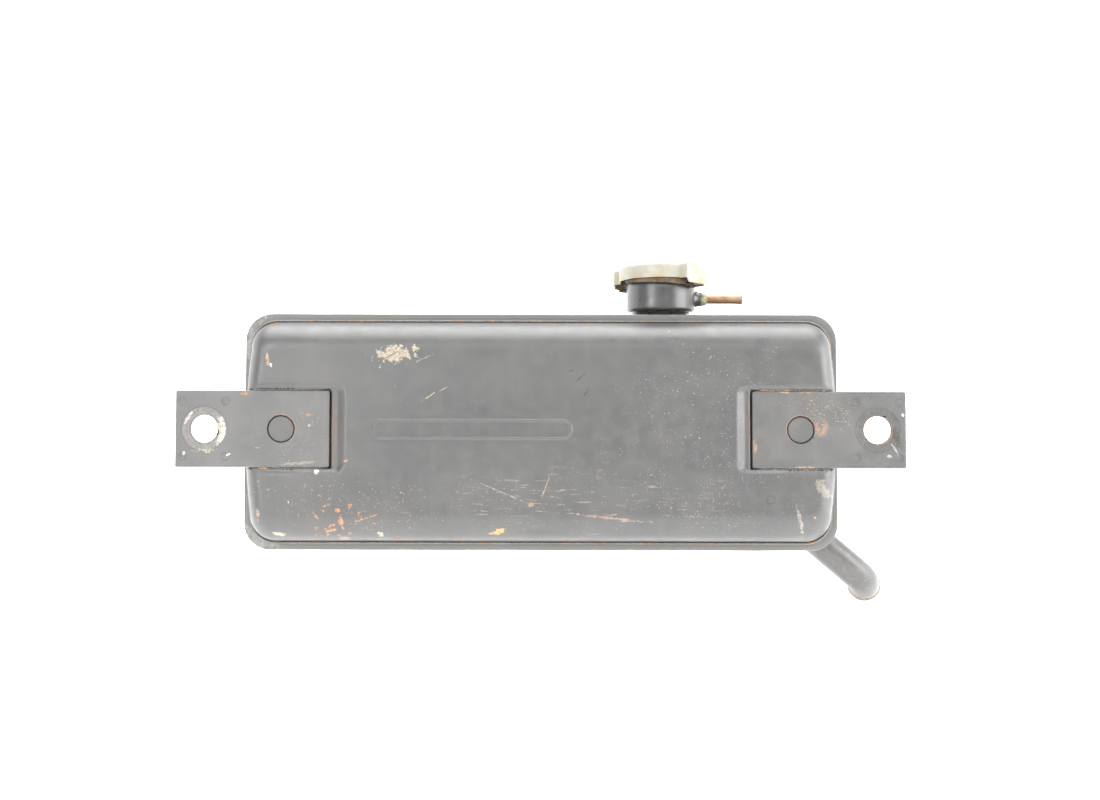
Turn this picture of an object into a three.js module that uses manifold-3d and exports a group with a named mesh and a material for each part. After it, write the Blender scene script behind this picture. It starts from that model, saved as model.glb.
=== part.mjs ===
// Coolant expansion tank of a classic car: two pressed steel shells joined at a rim, two lug plates,
// a bayonet filler neck with its overflow pipe, a bent outlet pipe, and a pressure cap with its valves.
// Millimetres. +X runs along the tank, +Y from the lug plates into the tank, and +Z up to the filler.
// The origin is midway between the two lug bolt holes, on the rear face of the lug plates.
import * as THREE from "three";
import { mergeVertices } from "three/addons/utils/BufferGeometryUtils.js";
import Module from "manifold-3d";

const wasm = await Module();
wasm.setup();

const GAP = 0.3; // clearance between pieces that touch on the real tank
const SHEET = 1.2; // wall of the shells, the filler neck and the pipes
const DEG = Math.PI / 180;
const OVERRUN = 5; // how far a cutting tool runs past what it cuts

// Tank shells. A section is a rounded rectangle, whose two ends may bow outwards.
const TANK_Z = -1.2; // centre height of the tank
const SEAM_Y = 22; // plane where the front shell stands on the rear shell's rim
const RIM = { halfX: 198.3, halfZ: 79.1, corner: 18, bow: 0 };
const RIM_THICK = 1.6;
const FRONT_FOOT = { halfX: 196.4, halfZ: 73.4, corner: 17, bow: 3.5 };
const FRONT_FACE_Y = -5.5; // edge of the front face, before its crown
const FRONT_CROWN = 3.5;
const FRONT_SHOULDER = { x: 10, y: 15, z: 18 }; // radii of the rounded front edge along each axis
const REAR_FOOT = { halfX: 189.5, halfZ: 70.7, corner: 16, bow: 0 };
const REAR_FACE_Y = 72;
const REAR_CROWN = 2;
const REAR_SHOULDER = { x: 12, y: 10, z: 12 };
const FRONT_DRAFT = 3; // how far the side walls lean in before the rounded edge
const REAR_DRAFT = 0.8;
const SEAM_BEAD = 1.5;
const SHOULDER_STEPS = 5;
const FACE_RINGS = [0.82, 0.62, 0.4, 0.2]; // sizes of the rings that carry the face's crown

// Lug plates and the pockets pressed into the front shell for them.
const LUG = { length: 100, height: 50, thick: 4, holeX: 219, plugHoleX: 169, holeR: 9 };
const LUG_OUTER_X = LUG.holeX + 18.5;
const LUG_INNER_X = LUG_OUTER_X - LUG.length;
const LUG_FREE_X = 198; // beyond this the plate stands clear of the tank and bears on the bracket
const LUG_CORNER = 0.8;
const POCKET = { innerX: 130.5, halfZ: 27, corner: 6 };
const POCKET_BOSS = { r: 8.5, frontY: -3.2 }; // raised in each pocket to fill the plate's inner hole
const LUG_WELD = { from: 141, to: 183, size: 1.4 };
const SPOT = { dx: 14, dz: 18, r: 2.3, depth: 0.4 }; // spot weld dimples round each bolt hole

// Raised outline of the blank name panel on the front face.
const PANEL = { x: -44.6, z: -0.2, halfX: 65, halfZ: 6.4, line: 1.3, rise: 0.7 };

// Filler neck, on the rear shell's top wall.
const NECK_X = 82;
const NECK_Y = 43.5;
const THROAT = { r: 17.5, bottomZ: 63 };
const THROAT_BRAZE = { width: 1.6, height: 2.4 };
const BARREL = { r: 23.5, bottomZ: 80.8, topZ: 102.0, chamfer: 2 };
const SEAT_Z = BARREL.bottomZ + SHEET;
const CAM = { r: 26.6, topZ: 103.5, thick: 1.2, lip: 1.2 };
const CAM_PITCH = 1.2; // fall of the cam's lower edge, mm per radian of turn
const CAM_START_DEG = -19; // where each ramp starts, beside its entry notch
const CAM_STOP_DEG = -138; // where each ramp ends against its stop
const CAM_STOP_WIDTH_DEG = 8;
const CAM_STOP_Z = 96.6;
const NOTCH_HALF_DEG = 19;
const CAM_REST_Z = 100.0; // lower edge of the ramp above the cap's tab as the cap rests
const CAM_STEPS = 9; // steps that a ramp is cut in

// Overflow pipe in the side of the neck, above the valve's seat.
const OVERFLOW = { z: 90.6, r: 3.1, wall: 0.9, intoBarrel: 1, endX: 138 };
const OVERFLOW_BOSS = { fromX: 100.4, toX: 108.8, rootR: 11, tipR: 4.9, bottomZ: 80 };
const OVERFLOW_COLLAR = { toX: 113, r: 4.5 };

// Outlet pipe, out of the lower right corner, then bent rearwards.
const OUTLET = { r: 10.4, wall: 1.2 };
const OUTLET_BEAD = { r: 11.6, length: 3.4, root: 0.6 };
const OUTLET_PATH = [
  [171, 46, -59.5],
  [191.5, 46, -76.8],
  [206, 46, -89],
  [213.5, 46.8, -95.3],
  [219.3, 49.6, -100.2],
  [222.8, 54.5, -103.6],
  [224.9, 62, -107],
];
const OUTLET_WELD = { r: 13.4, from: 10, to: 24, tipR: 11 };

// Pressure cap. Its parts are named from the top down.
const CAP_TURN_DEG = -42; // where the ears stand, from the neck's entry notches
const CAP = { r: 28.6, topZ: 112, skirtZ: 102.4, wall: 1.2, edge: 1.5 };
const EAR = { r: 32.6, halfWidth: 12.5, bottomZ: 98.9, rootR: 20 };
const TAB = { halfWidth: 6, innerR: 24.2, thick: 1.4 };
const RIVET = { shankR: 2.6, collarR: 4.6, headR: 6, headThick: 1.5, baseR: 5, baseThick: 1.3 };
const DISC = { r: 25, thick: 0.6, edgeZ: 107.1, hubZ: 106.1, hubR: 12, coneR: 18 };
const GASKET = { innerR: 17, r: 25.2, bottomZ: 105.6, thick: 1.2 };
const CAGE = { r: 14.6, wall: 1, topZ: 105.7, bottomZ: 90.6, lipR: 11.7 };
const SPRING = { r: 10.4, wire: 0.9, turns: 4.5 };
const VALVE = { r: 19.6, discZ: 86.2, neckR: 11, flangeR: 13.2, flangeZ: 91.9, wall: 1 };
const SEAL = { innerR: 12.2, r: 20.6, thick: 1.9 };
const VACUUM = { r: 9, thick: 1.2, stemR: 1.4, stemTopZ: 96 };
const VACUUM_SPRING = { r: 4, wire: 0.45, turns: 5 };
const CLIP = { r: 5.2, thick: 0.8, z: 94.4 };
const SPRING_SIDES = 6;

const STEEL_PAINT = { color: 0x4a4a4a, roughness: 0.5, metalness: 0.3 };
const RUSTY_STEEL = { color: 0x6b4f3a, roughness: 0.8, metalness: 0.4 };
const COPPER = { color: 0xa06a48, roughness: 0.5, metalness: 0.8 };
const ZINC = { color: 0xd8d2b4, roughness: 0.45, metalness: 0.6 };
const SPRING_STEEL = { color: 0x8a8d90, roughness: 0.35, metalness: 0.9 };
const BRASS = { color: 0xb08d4a, roughness: 0.4, metalness: 0.9 };
const RUBBER = { color: 0x1b1b1b, roughness: 0.9, metalness: 0 };
const SOLDER = { color: 0x9a958a, roughness: 0.6, metalness: 0.6 };

const tank = new THREE.Group();

// ---- solids -------------------------------------------------------------------------------------

function toSolid(geometry) {
  const plain = geometry.clone();
  plain.deleteAttribute("normal");
  plain.deleteAttribute("uv");
  const merged = mergeVertices(plain, 1e-4);
  return new wasm.Manifold(
    new wasm.Mesh({
      numProp: 3,
      vertProperties: merged.attributes.position.array,
      triVerts: new Uint32Array(merged.index.array),
    }),
  );
}

function toGeometry(solid) {
  const mesh = solid.getMesh();
  const geometry = new THREE.BufferGeometry();
  geometry.setAttribute("position", new THREE.BufferAttribute(mesh.vertProperties, 3));
  geometry.setIndex(new THREE.BufferAttribute(mesh.triVerts, 1));
  return geometry;
}

function addPiece(name, shape, finish) {
  const geometry = shape.isBufferGeometry ? shape : toGeometry(shape);
  const mesh = new THREE.Mesh(geometry, new THREE.MeshStandardMaterial(finish));
  mesh.name = name;
  tank.add(mesh);
}

// A closed ring or disc turned about a vertical axis, from [radius, height] pairs listed anticlockwise.
function turned(profile, segments = 40) {
  const points = profile.map(([r, z]) => new THREE.Vector2(r, z));
  return new THREE.LatheGeometry(points, segments).rotateX(Math.PI / 2);
}

function turnedAtNeck(profile, segments) {
  return turned(profile, segments).translate(NECK_X, NECK_Y, 0);
}

// A ring of rectangular section about a vertical axis.
function ringProfile(innerR, outerR, bottomZ, topZ) {
  return [
    [innerR, bottomZ],
    [outerR, bottomZ],
    [outerR, topZ],
    [innerR, topZ],
    [innerR, bottomZ],
  ];
}

function discProfile(r, bottomZ, topZ) {
  return [
    [0, bottomZ],
    [r, bottomZ],
    [r, topZ],
    [0, topZ],
  ];
}

// A cylinder whose axis runs from one point to another.
function rod(from, to, r, endR = r, segments = 32) {
  const axis = new THREE.Vector3().subVectors(to, from);
  const geometry = new THREE.CylinderGeometry(endR, r, axis.length(), segments);
  const turn = new THREE.Quaternion().setFromUnitVectors(
    new THREE.Vector3(0, 1, 0),
    axis.clone().normalize(),
  );
  const middle = new THREE.Vector3().addVectors(from, to).multiplyScalar(0.5);
  return geometry.applyQuaternion(turn).translate(middle.x, middle.y, middle.z);
}

// A flat outline drawn in X and Z, made solid from one depth in Y to another.
function plate(shape, fromY, toY, curveSegments = 12) {
  const depth = toY - fromY;
  const geometry = new THREE.ExtrudeGeometry(shape, { depth, bevelEnabled: false, curveSegments });
  return geometry.rotateX(Math.PI / 2).translate(0, toY, 0);
}

function roundedRectangle(x0, x1, z0, z1, r) {
  const shape = new THREE.Shape();
  shape.moveTo(x0 + r, z0);
  shape.lineTo(x1 - r, z0);
  shape.absarc(x1 - r, z0 + r, r, -Math.PI / 2, 0);
  shape.lineTo(x1, z1 - r);
  shape.absarc(x1 - r, z1 - r, r, 0, Math.PI / 2);
  shape.lineTo(x0 + r, z1);
  shape.absarc(x0 + r, z1 - r, r, Math.PI / 2, Math.PI);
  shape.lineTo(x0, z0 + r);
  shape.absarc(x0 + r, z0 + r, r, Math.PI, Math.PI * 1.5);
  return shape;
}

function helixCurve(r, bottomZ, topZ, turns) {
  const curve = new THREE.Curve();
  curve.getPoint = (t, target = new THREE.Vector3()) => {
    const angle = 2 * Math.PI * turns * t;
    const z = bottomZ + (topZ - bottomZ) * t;
    return target.set(r * Math.cos(angle), r * Math.sin(angle), z);
  };
  return curve;
}

function coilSpring(spec, bottomZ, topZ, stepsPerTurn) {
  const curve = helixCurve(spec.r, bottomZ + spec.wire, topZ - spec.wire, spec.turns);
  const section = new THREE.Shape();
  section.absarc(0, 0, spec.wire, 0, 2 * Math.PI);
  const geometry = new THREE.ExtrudeGeometry(section, {
    extrudePath: curve,
    steps: Math.round(spec.turns * stepsPerTurn),
    bevelEnabled: false,
    curveSegments: SPRING_SIDES / 2,
  });
  return geometry.translate(NECK_X, NECK_Y, 0);
}

// ---- tank shells --------------------------------------------------------------------------------

const CORNER_STEPS = 6;
const LONG_STEPS = 6;
const END_STEPS = 4;

// The points of one tank section, anticlockwise from the lower right corner, in X and Z.
function sectionPoints({ halfX, halfZ, corner, bow }) {
  const points = [];
  const cornerX = halfX - bow - corner;
  const cornerZ = halfZ - corner;
  const arc = (cx, cz, startDeg) => {
    for (let i = 0; i < CORNER_STEPS; i++) {
      const angle = (startDeg + (90 * i) / CORNER_STEPS) * DEG;
      points.push([cx + corner * Math.cos(angle), cz + corner * Math.sin(angle)]);
    }
  };
  const end = (side) => {
    for (let i = 0; i < END_STEPS; i++) {
      const t = -1 + (2 * i) / END_STEPS;
      points.push([side * (halfX - bow * t * t), side * t * cornerZ]);
    }
  };
  const long = (side) => {
    for (let i = 0; i < LONG_STEPS; i++) {
      points.push([side * cornerX * (1 - (2 * i) / LONG_STEPS), side * halfZ]);
    }
  };
  arc(cornerX, -cornerZ, -90);
  end(1);
  arc(cornerX, cornerZ, 0);
  long(1);
  arc(-cornerX, cornerZ, 90);
  end(-1);
  arc(-cornerX, -cornerZ, 180);
  long(-1);
  return points;
}

// A section moved inwards by x at the ends and z along the sides. Its corners shrink half as fast.
function shrunk(section, x, z) {
  return {
    halfX: section.halfX - x,
    halfZ: section.halfZ - z,
    corner: Math.max(section.corner - (x + z) / 4, 2),
    bow: section.bow,
  };
}

function scaled(section, s) {
  return {
    halfX: section.halfX * s,
    halfZ: section.halfZ * s,
    corner: section.corner * s,
    bow: section.bow * s,
  };
}

// A solid through a stack of sections at given depths, closed flat at the first and by a fan at the last.
function loft(levels) {
  const rings = levels.map(({ section, y }) =>
    sectionPoints(section).map(([x, z]) => [x, y, z + TANK_Z]),
  );
  const count = rings[0].length;
  const positions = rings.flat(2);
  const first = positions.length / 3;
  positions.push(0, levels[0].y, TANK_Z);
  positions.push(0, levels.at(-1).peakY, TANK_Z);
  const forward = levels.at(-1).y > levels[0].y;
  const index = [];
  const face = (a, b, c) => index.push(...(forward ? [a, b, c] : [a, c, b]));
  for (let i = 0; i < count; i++) {
    const next = (i + 1) % count;
    face(first, i, next);
    for (let k = 0; k + 1 < rings.length; k++) {
      const low = k * count;
      const high = low + count;
      face(low + i, high + i, low + next);
      face(low + next, high + i, high + next);
    }
    const top = (rings.length - 1) * count;
    face(first + 1, top + next, top + i);
  }
  const geometry = new THREE.BufferGeometry();
  geometry.setAttribute("position", new THREE.Float32BufferAttribute(positions, 3));
  geometry.setIndex(index);
  return toSolid(geometry);
}

// The solid inside a shell's outer surface, moved inwards everywhere by `inset`.
function panSolid({ foot, draft, faceY, crown, shoulder }, inset, openY) {
  const out = Math.sign(faceY - openY);
  const levels = [];
  const start = shrunk(foot, inset, inset);
  levels.push({ section: start, y: openY });
  const wall = shrunk(foot, inset + draft, inset + draft);
  const flatY = faceY - out * inset;
  const radius = { x: shoulder.x - inset, y: shoulder.y - inset, z: shoulder.z - inset };
  for (let i = 0; i <= SHOULDER_STEPS; i++) {
    const angle = (i / SHOULDER_STEPS) * 90 * DEG;
    const inward = 1 - Math.cos(angle);
    const section = shrunk(wall, radius.x * inward, radius.z * inward);
    levels.push({ section, y: flatY - out * radius.y * (1 - Math.sin(angle)) });
  }
  const face = levels.at(-1).section;
  for (const s of FACE_RINGS) {
    const rise = out * crown * (1 - s * s) ** 2;
    levels.push({ section: scaled(face, s), y: flatY + rise });
  }
  levels.at(-1).peakY = flatY + out * crown;
  return loft(levels);
}

const FRONT_PAN = {
  foot: FRONT_FOOT,
  draft: FRONT_DRAFT,
  faceY: FRONT_FACE_Y,
  crown: FRONT_CROWN,
  shoulder: FRONT_SHOULDER,
};
const REAR_PAN = {
  foot: REAR_FOOT,
  draft: REAR_DRAFT,
  faceY: REAR_FACE_Y,
  crown: REAR_CROWN,
  shoulder: REAR_SHOULDER,
};

// The space of both lug pockets, grown by `grow` so that the sheet keeps its thickness round them.
function pocketSpace(grow) {
  const spaces = [-1, 1].map((side) => {
    const inner = POCKET.innerX - grow;
    const outer = LUG_OUTER_X;
    const halfZ = POCKET.halfZ + grow;
    const shape = roundedRectangle(
      side > 0 ? inner : -outer,
      side > 0 ? outer : -inner,
      -halfZ,
      halfZ,
      POCKET.corner + grow,
    );
    return toSolid(plate(shape, FRONT_FACE_Y - FRONT_CROWN - OVERRUN, GAP + grow, 5));
  });
  return spaces[0].add(spaces[1]);
}

// The raised line round the name panel, cut to follow the crowned face.
function panelOutline() {
  const { x, z, halfX, halfZ, line, rise } = PANEL;
  const shape = roundedRectangle(x - halfX, x + halfX, z - halfZ, z + halfZ, halfZ);
  const inside = halfZ - line;
  const innerX = halfX - line;
  shape.holes.push(roundedRectangle(x - innerX, x + innerX, z - inside, z + inside, inside));
  const prism = toSolid(plate(shape, FRONT_FACE_Y - FRONT_CROWN - OVERRUN, FRONT_FACE_Y - GAP, 6));
  return prism.intersect(panSolid(FRONT_PAN, -rise, SEAM_Y));
}

// The round boss in the floor of each lug pocket, with radius `r` and its end at `frontY`.
function pocketBosses(r, frontY) {
  const bosses = [-1, 1].map((side) => {
    const at = (y) => new THREE.Vector3(side * LUG.plugHoleX, y, 0);
    return toSolid(rod(at(GAP + 2 * SHEET), at(frontY), r));
  });
  return bosses[0].add(bosses[1]);
}

function frontShell() {
  const footY = SEAM_Y - GAP;
  const { r, frontY } = POCKET_BOSS;
  const outer = panSolid(FRONT_PAN, 0, footY).subtract(pocketSpace(0)).add(pocketBosses(r, frontY));
  const inner = panSolid(FRONT_PAN, SHEET, footY + 2)
    .subtract(pocketSpace(SHEET))
    .add(pocketBosses(r - SHEET, frontY + SHEET));
  return outer.subtract(inner).add(panelOutline());
}

function rimPrism(section, fromY, toY) {
  const points = sectionPoints(section).map(([x, z]) => new THREE.Vector2(x, z + TANK_Z));
  return toSolid(plate(new THREE.Shape(points), fromY, toY));
}

const outletCurve = new THREE.CatmullRomCurve3(
  OUTLET_PATH.map(([x, y, z]) => new THREE.Vector3(x, y, z)),
);

// A straight bore in line with the start of the outlet pipe.
function outletBore(r) {
  const start = outletCurve.getPoint(0);
  const reach = outletCurve.getTangent(0).multiplyScalar(60);
  return toSolid(rod(start.clone().sub(reach), start.clone().add(reach), r));
}

function rearShell() {
  const outer = panSolid(REAR_PAN, 0, SEAM_Y);
  const inner = panSolid(REAR_PAN, SHEET, SEAM_Y - 2);
  const neckHole = toSolid(turnedAtNeck(discProfile(THROAT.r + GAP, 0, BARREL.bottomZ)));
  return outer
    .add(rimPrism(RIM, SEAM_Y, SEAM_Y + RIM_THICK))
    .subtract(inner)
    .subtract(neckHole)
    .subtract(outletBore(OUTLET.r + GAP));
}

// A thin bead in the corner between the front shell's foot and the rim.
function seamWeld() {
  const frontY = SEAM_Y - SEAM_BEAD;
  const outside = rimPrism(shrunk(FRONT_FOOT, -SEAM_BEAD, -SEAM_BEAD), frontY, SEAM_Y - GAP);
  const inside = rimPrism(shrunk(FRONT_FOOT, -GAP, -GAP), frontY - OVERRUN, SEAM_Y + OVERRUN);
  return outside.subtract(inside);
}

// ---- lugs ---------------------------------------------------------------------------------------

function boltHole(side, holeX) {
  const hole = new THREE.Path();
  hole.absarc(side * holeX, 0, LUG.holeR, 0, 2 * Math.PI);
  return hole;
}

// Part of a lug plate between two distances from the middle of the tank, with the hole in it.
function lugPart(side, from, to, corner, holeX) {
  const [x0, x1] = side > 0 ? [from, to] : [-to, -from];
  const shape = roundedRectangle(x0, x1, -LUG.height / 2, LUG.height / 2, corner);
  shape.holes.push(boltHole(side, holeX));
  return toSolid(plate(shape, -LUG.thick, 0, 16));
}

// The free end is drawn apart from the rest, so that its rear face is a flat of its own.
function lugPlate(side) {
  const held = lugPart(side, LUG_INNER_X, LUG_FREE_X, 0, LUG.plugHoleX);
  const free = lugPart(side, LUG_FREE_X, LUG_OUTER_X, 0, LUG.holeX);
  const whole = roundedRectangle(
    side > 0 ? LUG_INNER_X : -LUG_OUTER_X,
    side > 0 ? LUG_OUTER_X : -LUG_INNER_X,
    -LUG.height / 2,
    LUG.height / 2,
    LUG_CORNER,
  );
  let solid = held.add(free).intersect(toSolid(plate(whole, -LUG.thick - 1, 1)));
  for (const dx of [-SPOT.dx, SPOT.dx]) {
    for (const dz of [-SPOT.dz, SPOT.dz]) {
      const at = new THREE.Vector3(side * LUG.holeX + dx, -LUG.thick + SPOT.depth, dz);
      const outside = at.clone().setY(-LUG.thick - 1);
      solid = solid.subtract(toSolid(rod(at, outside, SPOT.r, SPOT.r, 12)));
    }
  }
  return solid;
}

function lugWeld(side, edge) {
  const { from, to, size } = LUG_WELD;
  const z = edge * (LUG.height / 2 + GAP + size / 2);
  const bar = new THREE.BoxGeometry(to - from, size, size);
  return bar.translate((side * (from + to)) / 2, -size / 2, z);
}

// ---- filler neck --------------------------------------------------------------------------------

function neckThroat() {
  const topZ = BARREL.bottomZ - GAP;
  return turnedAtNeck(ringProfile(THROAT.r - SHEET, THROAT.r, THROAT.bottomZ, topZ), 40);
}

function neckBraze() {
  const wallTopZ = TANK_Z + REAR_FOOT.halfZ + GAP;
  const r = THROAT.r + GAP;
  return turnedAtNeck(
    [
      [r, wallTopZ],
      [r + THROAT_BRAZE.width, wallTopZ],
      [r, wallTopZ + THROAT_BRAZE.height],
      [r, wallTopZ],
    ],
    32,
  );
}

function overflowAxisPoint(x) {
  return new THREE.Vector3(x, NECK_Y, OVERFLOW.z);
}

function neckBarrel() {
  const innerR = BARREL.r - SHEET;
  const throatR = THROAT.r - SHEET;
  const profile = [
    [throatR, BARREL.bottomZ],
    [BARREL.r - BARREL.chamfer, BARREL.bottomZ],
    [BARREL.r, BARREL.bottomZ + BARREL.chamfer],
    [BARREL.r, BARREL.topZ],
    [innerR, BARREL.topZ],
    [innerR, SEAT_Z],
    [throatR, SEAT_Z],
    [throatR, BARREL.bottomZ],
  ];
  const inside = overflowAxisPoint(NECK_X + BARREL.r / 2);
  const outside = overflowAxisPoint(NECK_X + BARREL.r + OVERRUN);
  const hole = rod(inside, outside, OVERFLOW.r + GAP);
  return toSolid(turnedAtNeck(profile, 48)).subtract(toSolid(hole));
}

// Height of a ramp's lower edge at an angle measured from its entry notch, which is negative.
function rampZ(angleDeg) {
  return CAM_REST_Z + (angleDeg - CAP_TURN_DEG) * DEG * CAM_PITCH;
}

function pieSlice(fromDeg, toDeg, r, bottomZ, topZ) {
  const shape = new THREE.Shape();
  shape.moveTo(0, 0);
  shape.lineTo(r * Math.cos(fromDeg * DEG), r * Math.sin(fromDeg * DEG));
  shape.absarc(0, 0, r, fromDeg * DEG, toDeg * DEG);
  const geometry = new THREE.ExtrudeGeometry(shape, {
    depth: topZ - bottomZ,
    bevelEnabled: false,
    curveSegments: 8,
  });
  return toSolid(geometry.translate(NECK_X, NECK_Y, bottomZ));
}

// The flange on the barrel: a flat ring with a lip turned down. Each half of the lip has an entry
// notch for the cap's tab, a ramp that falls as the cap is turned shut, and a stop at its end.
function camFlange() {
  const { r, topZ, thick, lip } = CAM;
  const cutR = r + OVERRUN;
  const lowZ = CAM_STOP_Z - OVERRUN;
  const flatRing = ringProfile(BARREL.r - SHEET, r, topZ - thick, topZ);
  const deepLip = ringProfile(r - lip, r, CAM_STOP_Z, topZ - thick / 2);
  const shortLipZ = topZ - thick - lip;
  const stepDeg = (CAM_STOP_DEG - CAM_START_DEG) / CAM_STEPS;
  const overlapDeg = 0.2;
  let lipSolid = toSolid(turnedAtNeck(deepLip, 64));
  for (const half of [0, 180]) {
    for (let i = 0; i < CAM_STEPS; i++) {
      const high = half + CAM_START_DEG + stepDeg * i;
      const z = rampZ(CAM_START_DEG + stepDeg * (i + 0.5));
      const slice = pieSlice(high + stepDeg - overlapDeg, high + overlapDeg, cutR, lowZ, z);
      lipSolid = lipSolid.subtract(slice);
    }
    const afterStop = half + CAM_STOP_DEG - CAM_STOP_WIDTH_DEG;
    const nextNotch = half - 180 + NOTCH_HALF_DEG;
    lipSolid = lipSolid.subtract(pieSlice(nextNotch, afterStop, cutR, lowZ, shortLipZ));
  }
  const barrel = toSolid(turnedAtNeck(discProfile(BARREL.r, lowZ - 1, topZ + OVERRUN), 48));
  let flange = toSolid(turnedAtNeck(flatRing, 64)).add(lipSolid);
  for (const half of [0, 180]) {
    const [low, high] = [half - NOTCH_HALF_DEG, half + NOTCH_HALF_DEG];
    const notch = pieSlice(low, high, cutR, lowZ, topZ + 1);
    flange = flange.subtract(notch.subtract(barrel));
  }
  return flange;
}

function overflowRod(fromX, toX, r, endR = r) {
  return toSolid(rod(overflowAxisPoint(fromX), overflowAxisPoint(toX), r, endR));
}

function overflowPipe() {
  const { r, wall, intoBarrel, endX } = OVERFLOW;
  const startX = NECK_X + BARREL.r - SHEET - intoBarrel;
  const bore = overflowRod(startX - OVERRUN, endX + OVERRUN, r - wall);
  return overflowRod(startX, endX, r).subtract(bore);
}

// The bulge drawn out of the barrel's side, round the pipe. It is cut off flat above the tank.
function overflowBoss() {
  const { fromX, toX, rootR, tipR, bottomZ } = OVERFLOW_BOSS;
  const barrel = toSolid(turnedAtNeck(discProfile(BARREL.r + GAP, 0, CAP.topZ), 48));
  const pipe = overflowRod(fromX - OVERRUN, toX + OVERRUN, OVERFLOW.r + GAP);
  const below = new THREE.BoxGeometry(80, 80, 40).translate(toX, NECK_Y, bottomZ - 20);
  return overflowRod(fromX, toX, rootR, tipR)
    .subtract(barrel)
    .subtract(pipe)
    .subtract(toSolid(below));
}

function overflowCollar() {
  const from = OVERFLOW_BOSS.toX + GAP;
  const to = OVERFLOW_COLLAR.toX;
  const bore = overflowRod(from - OVERRUN, to + OVERRUN, OVERFLOW.r + GAP);
  return overflowRod(from, to, OVERFLOW_COLLAR.r).subtract(bore);
}

// ---- outlet -------------------------------------------------------------------------------------

function tubeAlong(curve, outerR, innerR, steps) {
  const section = new THREE.Shape();
  section.absarc(0, 0, outerR, 0, 2 * Math.PI);
  const bore = new THREE.Path();
  bore.absarc(0, 0, innerR, 0, 2 * Math.PI);
  section.holes.push(bore);
  return new THREE.ExtrudeGeometry(section, {
    extrudePath: curve,
    steps,
    bevelEnabled: false,
    curveSegments: 10,
  });
}

function outletPipe() {
  const { r, wall } = OUTLET;
  const { r: beadR, length, root } = OUTLET_BEAD;
  const tube = toSolid(tubeAlong(outletCurve, r, r - wall, 14));
  const end = outletCurve.getPoint(1);
  const axis = outletCurve.getTangent(1);
  const turn = new THREE.Quaternion().setFromUnitVectors(new THREE.Vector3(0, 0, 1), axis);
  const bead = turned(
    [
      [r - root, -length],
      [r, -length],
      [beadR, -length * 0.65],
      [beadR, -length * 0.35],
      [r, 0],
      [r - root, 0],
      [r - root, -length],
    ],
    28,
  );
  return tube.add(toSolid(bead.applyQuaternion(turn).translate(end.x, end.y, end.z)));
}

// The weld round the outlet pipe, where it leaves the rear shell.
function outletWeld() {
  const start = outletCurve.getPoint(0);
  const axis = outletCurve.getTangent(0);
  const at = (distance) => start.clone().addScaledVector(axis, distance);
  const collar = toSolid(rod(at(OUTLET_WELD.from), at(OUTLET_WELD.to), OUTLET_WELD.r, OUTLET_WELD.tipR));
  return collar.subtract(panSolid(REAR_PAN, -GAP, SEAM_Y)).subtract(outletBore(OUTLET.r + GAP));
}

// ---- pressure cap -------------------------------------------------------------------------------

// Puts a solid drawn on the neck's axis, with its ears along X, where the cap rests.
function capPlaced(geometry) {
  return geometry.rotateZ(CAP_TURN_DEG * DEG).translate(NECK_X, NECK_Y, 0);
}

function capBox(x0, x1, halfY, z0, z1) {
  const box = new THREE.BoxGeometry(x1 - x0, 2 * halfY, z1 - z0);
  return toSolid(capPlaced(box.translate((x0 + x1) / 2, 0, (z0 + z1) / 2)));
}

// The cap's lid: a shallow cup with two ears, each a hollow block whose foot is turned in as a tab.
function capShell() {
  const { r, topZ, skirtZ, wall, edge } = CAP;
  const holeR = RIVET.shankR + GAP;
  const profile = [
    [holeR, topZ - wall],
    [r - wall, topZ - wall],
    [r - wall, skirtZ],
    [r, skirtZ],
    [r, topZ - edge],
    [r - edge, topZ],
    [holeR, topZ],
    [holeR, topZ - wall],
  ];
  const hollow = toSolid(capPlaced(turned(discProfile(r - wall, 0, topZ - wall), 56)));
  const tabs = [];
  let solid = toSolid(capPlaced(turned(profile, 56)));
  for (const side of [-1, 1]) {
    const box = (near, far, halfY, z0, z1) =>
      side > 0 ? capBox(near, far, halfY, z0, z1) : capBox(-far, -near, halfY, z0, z1);
    const block = box(EAR.rootR, EAR.r, EAR.halfWidth, EAR.bottomZ, topZ);
    const insideZ = EAR.bottomZ - OVERRUN;
    const inside = box(EAR.rootR / 2, EAR.r - wall, EAR.halfWidth - wall, insideZ, topZ - wall);
    const tabZ = EAR.bottomZ - TAB.thick;
    solid = solid.add(block.subtract(hollow)).subtract(inside);
    tabs.push(box(TAB.innerR, EAR.r, TAB.halfWidth, tabZ, EAR.bottomZ + 0.01));
  }
  return solid.add(tabs[0]).add(tabs[1]);
}

// Rivet up the middle of the cap. Its base holds the cage and its collar the spring disc.
function capRivet() {
  const { shankR, collarR, headR, headThick, baseR, baseThick } = RIVET;
  const baseTopZ = CAGE.topZ - CAGE.wall - GAP;
  const collarLowZ = DISC.hubZ + DISC.thick + GAP;
  const collarTopZ = CAP.topZ - CAP.wall - GAP;
  const headZ = CAP.topZ + GAP;
  return turnedAtNeck(
    [
      [0, baseTopZ - baseThick],
      [baseR, baseTopZ - baseThick],
      [baseR, baseTopZ],
      [shankR, baseTopZ],
      [shankR, collarLowZ],
      [collarR, collarLowZ],
      [collarR, collarTopZ],
      [shankR, collarTopZ],
      [shankR, headZ],
      [headR, headZ],
      [headR - 1, headZ + 1],
      [0, headZ + headThick],
    ],
    20,
  );
}

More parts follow.
